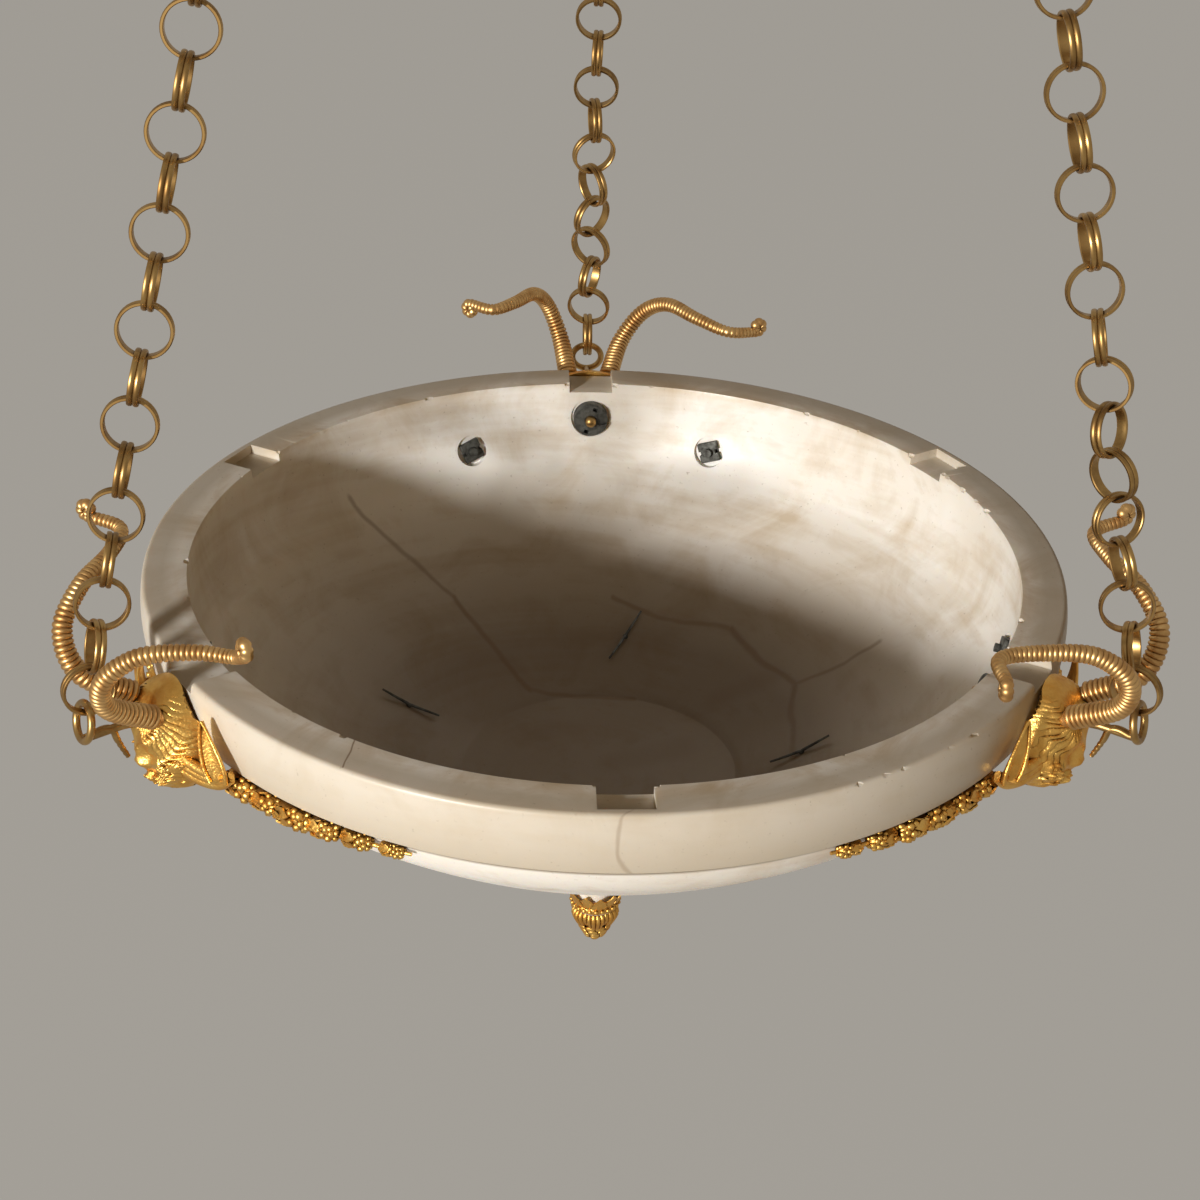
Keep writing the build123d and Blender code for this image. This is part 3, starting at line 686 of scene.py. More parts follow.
    def weathered(self, tree: NodeTree, colour: NodeSocket, height: NodeSocket, reach: NodeSocket) -> NodeSocket:
        """Darken the bowl's depth with dust and painted shade, paint shade on the outside of its band and paint a
        shadow line in the seam below the band.

        Args:
            tree: Node tree of the stone.
            colour: Colour of the plain stone.
            height: Height in the bowl's coordinates.
            reach: Distance from the bowl's axis.

        Returns:
            Socket with the colour of the stone with its dust and painted shade.
        """
        top = LAYOUT.rim_top * MM
        # Dust and painted shade: upward-facing stone deep in the bowl is mixed towards a dark brown, more so lower
        # down.
        normal = add_node(tree, "ShaderNodeNewGeometry").outputs["Normal"]
        upward = add_node(tree, "ShaderNodeSeparateXYZ", {0: normal}).outputs[2]
        inside = add_node(tree, "ShaderNodeMapRange", {"Value": upward, "From Min": 0.1, "From Max": 0.4}).outputs[0]
        sinking = {"Value": height, "From Min": top - 0.054, "From Max": top - 0.12, "To Max": 0.78}
        depth = add_node(tree, "ShaderNodeMapRange", sinking).outputs[0]
        dust_and_shade = add_node(tree, "ShaderNodeMath", {0: inside, 1: depth}, operation="MULTIPLY").outputs[0]
        settled_and_shaded = {0: dust_and_shade, 6: colour, 7: linear(self.aged)}
        dusty_and_shaded = add_node(tree, "ShaderNodeMix", settled_and_shaded, data_type="RGBA").outputs[2]
        # Painted shade: the outside of the band, above the seam, is mixed towards a greyer tone, more so towards its
        # lower edge.
        far = {"Value": reach, "From Min": 0.23, "From Max": 0.238}
        outside = add_node(tree, "ShaderNodeMapRange", far).outputs[0]
        lower = {"Value": height, "From Min": top - 0.006, "From Max": top - 0.036, "To Min": 0.7, "To Max": 1.0}
        fall = add_node(tree, "ShaderNodeMapRange", lower).outputs[0]
        upper = {"Value": height, "From Min": top - 0.0374, "From Max": top - 0.0362}
        above = add_node(tree, "ShaderNodeMapRange", upper).outputs[0]
        edge = add_node(tree, "ShaderNodeMath", {0: above, 1: outside}, operation="MULTIPLY").outputs[0]
        band = add_node(tree, "ShaderNodeMath", {0: edge, 1: fall}, operation="MULTIPLY").outputs[0]
        band_shade_mix = {0: band, 6: dusty_and_shaded, 7: linear(self.handled)}
        banded = add_node(tree, "ShaderNodeMix", band_shade_mix, data_type="RGBA").outputs[2]
        # Painted shadow: a thin dark brown line just under the band's lower edge, where the band shades the
        # shoulder.
        apart = add_node(tree, "ShaderNodeMath", {0: height, 1: top - 0.0384}, operation="SUBTRACT").outputs[0]
        gap = add_node(tree, "ShaderNodeMath", {0: apart}, operation="ABSOLUTE").outputs[0]
        close = {"Value": gap, "From Max": 0.0022, "To Min": 0.95, "To Max": 0.0}
        near = add_node(tree, "ShaderNodeMapRange", close).outputs[0]
        seam_shadow = add_node(tree, "ShaderNodeMath", {0: outside, 1: near}, operation="MULTIPLY").outputs[0]
        lined = {0: seam_shadow, 6: banded, 7: linear(self.stain)}
        return add_node(tree, "ShaderNodeMix", lined, data_type="RGBA").outputs[2]

    def line_mark(self, tree: NodeTree, coords: NodeSocket, vein: Vein) -> NodeSocket:
        """Mark one vein by its distance in plan from a straight stretch.

        Args:
            tree: Node tree of the stone.
            coords: Wobbled place in plan.
            vein: The stretch.

        Returns:
            Socket that is strongest on the vein and fades beside it.
        """
        start = LAYOUT.out(vein.start[1]) * vein.start[0] * MM
        run = LAYOUT.out(vein.end[1]) * vein.end[0] * MM - start
        apart = add_node(tree, "ShaderNodeVectorMath", {0: coords, 1: start}, operation="SUBTRACT").outputs[0]
        along = {0: apart, 1: run / run.length_squared}
        dot = add_node(tree, "ShaderNodeVectorMath", along, operation="DOT_PRODUCT").outputs["Value"]
        share = add_node(tree, "ShaderNodeClamp", {"Value": dot}).outputs[0]
        foot = add_node(tree, "ShaderNodeVectorMath", {0: run, 3: share}, operation="SCALE").outputs[0]
        gap = add_node(tree, "ShaderNodeVectorMath", {0: apart, 1: foot}, operation="DISTANCE").outputs["Value"]
        fade = {"Value": gap, "From Min": 0.1 * vein.width * MM, "From Max": vein.width * MM}
        fade |= {"To Min": vein.strength, "To Max": 0.0}
        return add_node(tree, "ShaderNodeMapRange", fade, interpolation_type="SMOOTHSTEP").outputs[0]


@dataclass(frozen=True)
class Metal:
    """A metal finish: two tones in patches, dirt and painted shade in its hollows and an uneven gloss."""

    name: str
    bright: str
    dull: str
    # Colour of the dirt and painted shade in the hollows.
    dirt: str
    patch_mm: float
    gloss: Point
    hollow_mm: float = 3.0
    dirt_share: float = 0.8
    pit_mm: float = 0.0
    metallic: float = 1.0

    def material(self) -> Material:
        """Build the metal's material.

        Returns:
            The material.
        """
        material, tree = blank_material(self.name)
        coords = add_node(tree, "ShaderNodeTexCoord").outputs["Object"]
        patches = {"Vector": coords, "Scale": 1 / (self.patch_mm * MM), "Detail": 4.0, "Roughness": 0.6}
        patch = add_node(tree, "ShaderNodeTexNoise", patches).outputs["Fac"]
        worn = {"Value": patch, "From Min": 0.38, "From Max": 0.66}
        share = add_node(tree, "ShaderNodeMapRange", worn).outputs[0]
        tones = {0: share, 6: linear(self.bright), 7: linear(self.dull)}
        tone = add_node(tree, "ShaderNodeMix", tones, data_type="RGBA").outputs[2]
        # Dirt and painted shade: where ambient occlusion finds a hollow, the tone is mixed towards the dark colour.
        around = {"Distance": self.hollow_mm * MM}
        open_sky = add_node(tree, "ShaderNodeAmbientOcclusion", around, samples=8).outputs["AO"]
        closed = {"Value": open_sky, "From Min": 0.3, "From Max": 0.9, "To Min": self.dirt_share, "To Max": 0.0}
        hollow = add_node(tree, "ShaderNodeMapRange", closed).outputs[0]
        filled = {0: hollow, 6: tone, 7: linear(self.dirt)}
        dirty_and_shaded = add_node(tree, "ShaderNodeMix", filled, data_type="RGBA").outputs[2]
        rubbed = {"Value": patch, "From Min": 0.3, "From Max": 0.7, "To Min": self.gloss[0], "To Max": self.gloss[1]}
        gloss = add_node(tree, "ShaderNodeMapRange", rubbed).outputs[0]
        inputs = {"Base Color": dirty_and_shaded, "Metallic": self.metallic, "Roughness": gloss}
        if self.pit_mm:
            cast = {"Vector": coords, "Scale": 1 / (self.pit_mm * MM), "Detail": 3.0}
            pits = add_node(tree, "ShaderNodeTexNoise", cast).outputs["Fac"]
            skin = {"Strength": 0.5, "Distance": 0.0007, "Height": pits}
            inputs["Normal"] = add_node(tree, "ShaderNodeBump", skin).outputs[0]
        shader = add_node(tree, "ShaderNodeBsdfPrincipled", inputs)
        add_node(tree, "ShaderNodeOutputMaterial", {"Surface": shader.outputs[0]})
        return material


# Mercury-gilt cast bronze: bright warm gold on the high places, brown dirt and painted shade in the chased hollows.
GILT_BRONZE = Metal("mercury_gilt_bronze", "#F8C86E", "#DFA24A", "#46290A", 14.0, (0.31, 0.47), 3.0, 0.95, 1.3)
# Brown-lacquered gilding on the horns: copper-gold ridges, with dirt and painted shade darkening the grooves.
BROWN_GILT = Metal("brown_gilt_bronze", "#E6BC7E", "#C2935A", "#2E1B0B", 10.0, (0.36, 0.5), 1.5, 0.8)
# Old lacquered brass of the chains: dull yellow-brown with darker handled patches.
AGED_BRASS = Metal("aged_brass", "#C49F64", "#8F6D40", "#2E1E0E", 16.0, (0.28, 0.48), 2.0, 0.7)
# Brass left to darken on the ceiling fitting.
DARK_BRASS = Metal("darkened_brass", "#8C6B3C", "#5F4526", "#22160A", 18.0, (0.34, 0.55), 3.0, 0.7)
# Hand-forged iron of nuts and pins: grey-black, dry and a little rusty.
IRON = Metal("forged_iron", "#6A6B66", "#45433F", "#1E1A17", 5.0, (0.5, 0.75), 2.0, 0.7, 0.8, 0.85)


@dataclass
class Finishes:
    """Every material of the light, built once."""

    alabaster: Material
    gilt: Material
    brown: Material
    brass: Material
    dark: Material
    iron: Material

    @classmethod
    def build(cls) -> Finishes:
        """Build all the materials."""
        metals = [finish.material() for finish in (GILT_BRONZE, BROWN_GILT, AGED_BRASS, DARK_BRASS, IRON)]
        return cls(Alabaster().material(), *metals)


@dataclass
class Bowl:
    """The turned alabaster bowl with its recesses, seats and worn edges."""

    finishes: Finishes
    steps: int = 360
    recess_width: float = 27.0
    recess_depth: float = 5.5
    recess_lip: float = 6.0
    rim_inside: float = 225.0
    nut_seat_radius: float = 12.3
    stud_seat_radius: float = 9.6
    step_in: Point = (241.5, -36.5)
    shoulder: Point = (222.0, -63.0)
    foot: Point = (90.0, -152.0)
    inner_shoulder: Point = (212.0, -51.0)
    floor_edge: Point = (79.0, -140.0)
    shoulder_bulge: float = 1.9
    wall_bulge: float = 4.5
    inner_bulge: float = 3.5

    def underside(self) -> tuple[Triple, Triple]:
        """Find the circles of the shoulder and of the wall below it.

        Returns:
            Both circles, as centre and radius.
        """
        bend = bulged(self.step_in, self.shoulder, self.shoulder_bulge)
        slope = bulged(self.shoulder, self.foot, self.wall_bulge)
        return circle_through(self.step_in, bend, self.shoulder), circle_through(self.shoulder, slope, self.foot)

    def inner_wall(self) -> Triple:
        """Circle of the wall inside, as centre and radius."""
        slope = bulged(self.inner_shoulder, self.floor_edge, self.inner_bulge)
        return circle_through(self.inner_shoulder, slope, self.floor_edge)

    def outside(self) -> list[Point]:
        """Draw the outer profile from the rim's inner edge down to the foot.

        Returns:
            Points as radius and level.
        """
        base, low, throat = (48.0, -166.0), (48.0, -172.0), (15.0, -212.0)
        points = arc((248.4, 0.0), (249.9, -13.6), (246.4, -34.0), 12)
        points = eased([(self.rim_inside, 0.0), *points], 1, 2.2, 5)
        points += [(244.4, -35.6), (242.2, -36.2)]
        points += arc(self.step_in, bulged(self.step_in, self.shoulder, self.shoulder_bulge), self.shoulder, 10)
        points += arc(self.shoulder, bulged(self.shoulder, self.foot, self.wall_bulge), self.foot, 28)[1:]
        points += arc(self.foot, bulged(self.foot, base, 1.0), base, 6)[1:]
        points += [(48.0, -169.0)]
        points += arc(low, bulged(low, throat, -9.0), throat, 14)
        points += [(16.4, -213.6), (17.0, -215.4), (17.0, -217.6), (16.0, -220.2), (13.4, -221.4)]
        return points + [(13.0, -224.0), (13.0, LAYOUT.foot_level), (0.0, LAYOUT.foot_level)]

    def inside(self) -> list[Point]:
        """Draw the inner profile from the middle of the floor up to the rim.

        Returns:
            Points as radius and level.
        """
        edge, shoulder, neck = self.floor_edge, self.inner_shoulder, (222.6, -24.0)
        points = arc((0.0, -149.0), (39.5, -146.8), (78.2, -140.6), 10)
        points += [(78.8, -140.4), (79.6, -139.6)]
        points += arc(edge, bulged(shoulder, edge, self.inner_bulge), shoulder, 30)[1:]
        points += arc(shoulder, bulged(neck, shoulder, 1.6), neck, 8)[1:]
        return points + [(223.7, -11.0), (224.6, -1.0)]

    def cutters(self, sprays: Sprays) -> BMesh:
        """Shapes that are cut from the turned bowl.

        Args:
            sprays: The sprays, for the places of their studs.

        Returns:
            Boxes for the recesses, drums for the seats of the nuts and lumps for the chips.
        """
        bm = bmesh.new()
        for station in Station:
            for turn, reach in ((0.0, 258.0), (60.0, LAYOUT.rim_radius - self.recess_lip)):
                start = self.rim_inside - 6.0
                place = LAYOUT.station(station.value + turn)
                size = Matrix.Diagonal((reach - start, self.recess_width, 2 * self.recess_depth, 1.0))
                middle = Matrix.Translation(((start + reach) / 2 - LAYOUT.rim_radius, 0.0, 0.0))
                bmesh.ops.create_cube(bm, size=1.0, matrix=place @ middle @ size)
            seat = LAYOUT.station(station.value) @ Matrix.Translation((-36.0, 0.0, LAYOUT.shank_level))
            self.add_drum(bm, 40, self.nut_seat_radius, seat @ Matrix.Rotation(math.pi / 2, 4, "Y"))
            for side in (1.0, -1.0):
                point, into = sprays.stud(station.value, side)
                seat = facing(point + into * (sprays.nut_seat + 10.0), into, LAYOUT.round(station.value))
                self.add_drum(bm, 32, self.stud_seat_radius, seat)
        self.chips(bm)
        return bm

    def add_drum(self, bm: BMesh, sides: int, radius: float, place: Matrix) -> None:
        """Add the drum that cuts one nut's seat."""
        size = {"segments": sides, "radius1": radius, "radius2": radius, "depth": 20.0}
        bmesh.ops.create_cone(bm, cap_ends=True, matrix=place, **size)

    def chips(self, bm: BMesh) -> None:
        """Add small lumps along the rim's edges, where the stone is chipped.

        Args:
            bm: Mesh of the cutters.
        """
        worn = random.Random(7)
        spots = [(249.0, azimuth) for azimuth in (296.0, 299.5, 302.0, 306.0, 309.0, 313.0, 318.0)]
        spots += [(self.rim_inside, worn.uniform(0.0, 360.0)) for _ in range(22)]
        recesses = [station.value + turn for station in Station for turn in (0, 60)]
        spots += [(self.rim_inside, middle + side) for middle in recesses for side in (-3.5, 3.4)]
        for radius, azimuth in spots:
            size = worn.uniform(1.0, 2.6)
            spot = LAYOUT.point(radius + worn.uniform(-0.5, 0.6), azimuth, worn.uniform(0.3, 1.0))
            place = Matrix.Translation(spot)
            stretch = Matrix.Diagonal((size, size * worn.uniform(1.0, 2.2), size, 1.0))
            turn = Matrix.Rotation(math.radians(azimuth), 4, "Z") @ Matrix.Rotation(worn.uniform(-0.5, 0.5), 4, "X")
            bmesh.ops.create_icosphere(bm, subdivisions=1, radius=1.0, matrix=place @ turn @ stretch)

    def build(self, sprays: Sprays) -> None:
        """Turn, cut and finish the bowl.

        Args:
            sprays: The sprays, for the places of their studs.
        """
        bm = bmesh.new()
        profile = [(radius, LAYOUT.rim_top + level) for radius, level in self.outside() + self.inside()]
        lathe(bm, profile, self.steps, closed=True)
        bmesh.ops.remove_doubles(bm, verts=bm.verts, dist=0.001)
        bm = carve(bm, self.cutters(sprays))
        stone = self.finishes.alabaster
        Piece("alabaster_dish", "bowl", ("alabaster_bowl",), stone, "alabaster", 32.0).make(bm)


@dataclass
class Chain:
    """One chain of twin-beaded brass rings."""

    finishes: Finishes
    count: int = 28
    inside: float = 11.8
    wall: float = 1.8
    width: float = 5.4
    pitch: float = 22.9
    rolls: tuple[tuple[float, float, int], ...] = ((90.0, 12.0, 8), (-84.0, 6.0, 4), (-84.0, -14.0, 9))

    def section(self) -> list[Point]:
        """Draw the section of a ring: flat inside, two round beads with a groove outside.

        Returns:
            Points as radius and level.
        """
        half, outer = self.width / 2, self.inside + self.wall
        side = [(self.inside, half * 0.86), (self.inside + 0.35, half), (outer - 0.5, half)]
        side += [(outer - 0.12, half * 0.82), (outer, half * 0.52), (outer - 0.18, half * 0.2), (outer - 0.75, 0.0)]
        return side + [(radius, -level) for radius, level in reversed(side[:-1])]

    def link_place(self, station: Station, index: int) -> Matrix:
        """Find the frame of one link.

        Args:
            station: Place of the chain.
            index: Number of the link, counted up from the hook.

        Returns:
            Frame with Y up the chain and Z along the ring's axis.
        """
        start, twist, twisted = self.rolls[list(Station).index(station)]
        turn = math.radians(start + twist * min(index, twisted) + 90.0 * (index % 2))
        along = LAYOUT.along_chain(station.value)
        across = LAYOUT.round(station.value) * math.cos(turn)
        across += LAYOUT.chain_face(station.value) * math.sin(turn)
        foot = LAYOUT.point(LAYOUT.rim_radius + LAYOUT.hook_reach, station.value, LAYOUT.hook_rise)
        return frame_of(across, along, foot + along * self.pitch * index)

    def add_link(self, bm: BMesh, station: Station, index: int) -> None:
        """Add one ring of a chain."""
        move(bm, lathe(bm, self.section(), 40, closed=True), self.link_place(station, index))

    def build(self) -> None:
        """Build the three chains."""
        for station in Station:
            bm = bmesh.new()
            for index in range(self.count):
                self.add_link(bm, station, index)
            name, body = f"ring_chain_{station.label}", f"{station.label}_chain"
            Piece(name, body, (f"chain_{station.label}",), self.finishes.brass, "aged_brass").make(bm)


@dataclass(frozen=True)
class HornShape:
    """How one old horn differs from the others: its curl, droop in degrees, reach, and where its end stands."""

    curl: Curl = Curl.UP
    end_out: float = 6.0
    droop: float = 0.0
    reach: float = 1.0
    end_up: float = 0.0


@dataclass
class Horns:
    """Six ribbed horns with rolled tips."""

    finishes: Finishes
    base_radius: float = 6.4
    tip_radius: float = 3.3
    rib_pitch: float = 2.75
    rib_depth: float = 1.0
    sides: int = 18
    spigot: float = 7.0
    spigot_radius: float = 4.5
    roll_radius: float = 3.6
    roll_close: float = 1.9
    roll_steps: int = 18
    rib_steps: int = 5
    route: tuple[Triple, ...] = (
        (13.0, 18.5, -13.5),
        (18.0, 43.0, 3.0),
        (26.7, 46.8, 24.0),
        (38.0, 32.0, 39.0),
        (55.0, 10.0, 43.0),
        (74.0, -4.0, 45.0),
        (94.0, 6.0, 46.0),
    )

    def curve(self, side: float, shape: HornShape) -> list[Vector]:
        """Curve of one horn in its station's frame, with its tip rolled up.

        Args:
            side: 1 for the left horn and -1 for the right.
            shape: How the horn differs from the others.

        Returns:
            Points from the socket to the tip.
        """
        knots = [Vector((out, side * step, up)) for step, out, up in self.route]
        knots[-1].x = shape.end_out
        knots[-1].z += shape.end_up
        root, turn = knots[0], Matrix.Rotation(math.radians(-side * shape.droop), 3, "X")
        stretch = Matrix.Diagonal((1.0, shape.reach, 1.0))
        points = spline([root + turn @ stretch @ (knot - root) for knot in knots], 24)
        run = (points[-1] - points[-3]).normalized()
        lift = (UPWARD * shape.curl.value - run * run.z * shape.curl.value).normalized()
        middle = points[-1] + lift * self.roll_radius
        for step in range(1, self.roll_steps + 1):
            angle = math.radians(20.0 * step)
            reach = self.roll_radius - self.roll_close * step / self.roll_steps
            points.append(middle + run * math.sin(angle) * reach - lift * math.cos(angle) * reach)
        return points

    def girths(self, count: int) -> list[Point]:
        """Work out the ribbed, tapering girth along a horn.

        Args:
            count: Number of sections along the horn.

        Returns:
            Half width and half height of each section.
        """
        sizes, taper = [], self.tip_radius - self.base_radius
        for number in range(count):
            share = number / (count - 1)
            radius = self.base_radius + taper * min(1.0, share * 1.12) ** 0.9
            groove = 1 - abs(math.sin(math.pi * number / self.rib_steps)) ** 0.7
            radius -= self.rib_depth * groove * (0.35 + 0.65 * radius / self.base_radius)
            sizes.append((radius, radius))
        sizes[-1] = (0.7, 0.7)
        return sizes

    def build(self) -> None:
        """Build the six horns."""
        shapes = {
            (Station.LEFT, 1.0): HornShape(end_out=-4.0, droop=6.0, reach=0.72, end_up=8.5),
            (Station.RIGHT, -1.0): HornShape(Curl.DOWN),
            (Station.BACK, 1.0): HornShape(Curl.DOWN, droop=5.0, reach=0.72),
            (Station.BACK, -1.0): HornShape(droop=15.0),
        }
        for station in Station:
            for hand, side in HANDS:
                curve = self.curve(side, shapes.get((station, side), HornShape()))
                length = sum((b - a).length for a, b in zip(curve, curve[1:]))
                ribs = round(length / self.rib_pitch)
                points = even(curve, ribs * self.rib_steps + 1)
                hint = Vector((0.1, 0.7 * side, -0.7))
                bm = bmesh.new()
                sweep(bm, path_places(points, self.girths(len(points)), hint), self.sides)
                run = (points[0] - points[1]).normalized()
                spigot = [points[0] - run * 0.5, points[0] + run * self.spigot]
                sweep(bm, path_places(spigot, [(self.spigot_radius,) * 2] * 2, hint), 16)
                move(bm, list(bm.verts), LAYOUT.station(station.value))
                name, node = f"ribbed_horn_{station.label}_{hand}", f"horn_{station.label}_{hand}"
                Piece(name, "bowl", (node,), self.finishes.brown, "brown_gilt", 80.0).make(bm)


@dataclass(frozen=True)
class Stroke:
    """One bump or hollow of a face: its place, reach and depth."""

    step: float
    up: float
    reach: float
    push: float


@dataclass
class Masks:
    """Three satyr masks with combed hair, a curled beard and goat's ears."""

    finishes: Finishes
    middle: float = -33.0
    half_width: float = 27.5
    half_height: float = 30.0
    relief: float = 20.5
    parting: float = -8.0
    strands: float = 27.0
    strand_depth: float = 2.1
    ear_half: float = 7.2
    ear_hollow: float = 5.6
    rows: int = 170

    def strokes(self) -> list[Stroke]:
        """List the bumps and hollows of the face, the same on both sides.

        Returns:
            Brows, nose, cheeks, eyes, mouth and chin, from the top down.
        """
        return [
            Stroke(13.0, -14.0, 7.5, 5.5),
            Stroke(0.0, -31.0, 5.5, 2.4),
            Stroke(0.0, -37.5, 4.4, 3.4),
            Stroke(0.0, -44.5, 4.4, 5.0),
            Stroke(3.6, -45.5, 2.6, 2.2),
            Stroke(8.0, -30.5, 5.6, 3.4),
            Stroke(8.2, -36.2, 4.2, -3.4),
            Stroke(8.2, -36.2, 2.4, 2.8),
            Stroke(12.0, -44.0, 5.5, 2.4),
            Stroke(0.0, -49.8, 3.2, 1.8),
            Stroke(0.0, -53.8, 3.2, 2.4),
            Stroke(2.0, -51.8, 1.5, -1.8),
            Stroke(0.0, -59.0, 5.0, 2.4),
        ]

    def curls(self) -> list[Stroke]:
        """List the curls of the beard.

        Returns:
            Two rows of curls along the lower edge.
        """
        rows = []
        for place in range(-5, 6):
            turn = math.radians(15.0 * place)
            rows.append(Stroke(20.0 * math.sin(turn), -36.5 - 20.5 * math.cos(turn), 4.3, 2.6))
            turn = math.radians(15.0 * place + 7.0)
            rows.append(Stroke(24.3 * math.sin(turn), -36.0 - 25.0 * math.cos(turn), 3.9, 2.4))
        return rows

    def height(self, step: float, up: float, strokes: list[Stroke], curls: list[Stroke]) -> float:
        """How far out a mask stands at a place on its face.

        Args:
            step: Place along the rim.
            up: Height from the rim's top.
            strokes: Bumps and hollows of the face.
            curls: Curls of the beard.

        Returns:
            Height of the relief.
        """
        spread = (step / self.half_width) ** 2 + ((up - self.middle) / self.half_height) ** 2
        rise = self.relief * math.sqrt(max(0.0, 1.0 - spread))
        for stroke in strokes:
            far = ((abs(step) - stroke.step) ** 2 + (up - stroke.up) ** 2) / stroke.reach**2
            if far < 6.0:
                rise += stroke.push * math.exp(-far)
        turn, reach = math.atan2(step, self.parting - up), math.hypot(step, up - self.parting)
        face = math.hypot(step / 13.0, (up + 41.0) / 15.0)
        hair = min(1.0, max(0.0, (face - 0.9) * 5.0)) * min(1.0, max(0.0, (reach - 9.0) / 4.0))
        sway = 0.06 * math.sin(reach / 2.6 + 4.0 * abs(turn)) + 0.02 * math.sin(reach / 1.2 + 9.0 * turn)
        comb = abs(math.sin(self.strands * (turn + sway)))
        fine = abs(math.sin(3.1 * self.strands * (turn + 1.2 * sway)))
        rise += hair * self.strand_depth * (comb**0.7 + 0.16 * fine - 0.7)
        for number, curl in enumerate(curls):
            across, along = step - curl.step, up - curl.up
            far = math.hypot(across, along)
            if far < curl.reach:
                dome = 1.0 - (far / curl.reach) ** 2
                hand = 1.0 if number % 4 < 2 else -1.0
                swirl = math.cos(hand * math.atan2(along, across) + TURN * far / 3.2 + number)
                rise += curl.push * dome**0.8 + 0.85 * swirl * min(1.0, 3.0 * dome)
        return max(0.0, rise)

    def add_head(self, bm: BMesh) -> None:
        """Add the head: a fine round relief whose edge follows the rim, closed at the back.

        Args:
            bm: Mesh that receives the head.
        """
        strokes, curls = self.strokes(), self.curls()
        grid = bmesh.ops.create_grid(bm, x_segments=self.rows, y_segments=self.rows, size=1.0)["verts"]
        for vert in grid:
            u, v = vert.co.x, vert.co.y
            step = self.half_width * u * math.sqrt(1.0 - v * v / 2.0)
            up = self.middle + self.half_height * v * math.sqrt(1.0 - u * u / 2.0)
            vert.co = Vector((0.4 - step * step / 500.0 + self.height(step, up, strokes, curls), step, up))
        bmesh.ops.holes_fill(bm, edges=[edge for edge in bm.edges if edge.is_boundary])

    def add_ear(self, bm: BMesh, hand: float) -> None:
        """Add one goat's ear, a hollow leaf with a rolled edge, and the locks of hair at its root.

        Args:
            bm: Mesh that receives the ear.
            hand: 1 for one side of the head and -1 for the other.
        """
        knots = ((-3.0, 48.5, -36.0), (-0.6, 46.5, -27.5), (1.4, 42.5, -18.0), (2.8, 37.8, -6.5))
        spine = spline([Vector(knot) for knot in knots], 8)
        count = len(spine) - 1
        edges: dict[float, list[Vector]] = {-1.0: [], 1.0: []}
        grid = bmesh.ops.create_grid(bm, x_segments=count, y_segments=12, size=1.0)["verts"]
        for vert in sorted(grid, key=lambda item: (item.co.x, item.co.y)):
            place, across = round((vert.co.x + 1) / 2 * count), round(vert.co.y, 4)
            share = place / count
            run = (spine[min(place + 1, count)] - spine[max(place - 1, 0)]).normalized()
            side = run.cross(Vector((0.94, 0.34, 0.0))).normalized()
            half = self.ear_half * math.sin(math.pi * (0.2 + 0.8 * share) ** 0.85) ** 0.8 + 0.2
            hollow = self.ear_hollow * across**2 * (1.0 - 0.7 * share)
            spot = spine[place] + side * across * half + Vector((hollow, 0.3 * hollow, 0.0))
            vert.co = Vector((spot.x, hand * spot.y, spot.z))
            if across in edges:
                edges[across].append(vert.co.copy())
        faces = list({face for vert in grid for face in vert.link_faces})
        bmesh.ops.solidify(bm, geom=faces, thickness=1.4)
        for rim in edges.values():
            sizes = [(1.15 - 0.3 * number / count,) * 2 for number in range(len(rim))]
            sweep(bm, path_places(rim, sizes, Vector((1.0, 0.0, 0.0))), 10)
        for rise in (-3.4, 0.0, 3.4):
            lock = [(9.0, 19.0, rise - 39.0), (4.0, 32.0, 0.9 * rise - 41.0)]
            lock += [(-1.0, 44.0, 0.7 * rise - 39.5), (-4.0, 51.5, 0.4 * rise - 34.0)]
            points = even(spline([Vector((out, hand * step, up)) for out, step, up in lock], 6), 19)
            sizes = [(3.5 - 0.08 * number, 2.9 - 0.06 * number) for number in range(len(points))]
            sweep(bm, path_places(points, sizes, UPWARD), 12)

    def build(self) -> None:
        """Build the three masks from one model."""
        model = bmesh.new()
        self.add_head(model)
        for hand in (1.0, -1.0):
            self.add_ear(model, hand)
        for station in Station:
            bm = model.copy()
            move(bm, list(bm.verts), LAYOUT.station(station.value))
            name = f"satyr_mask_{station.label}"
            Piece(name, "bowl", (f"mask_{station.label}",), self.finishes.gilt, "gilt_bronze", 60.0).make(bm)
        model.free()


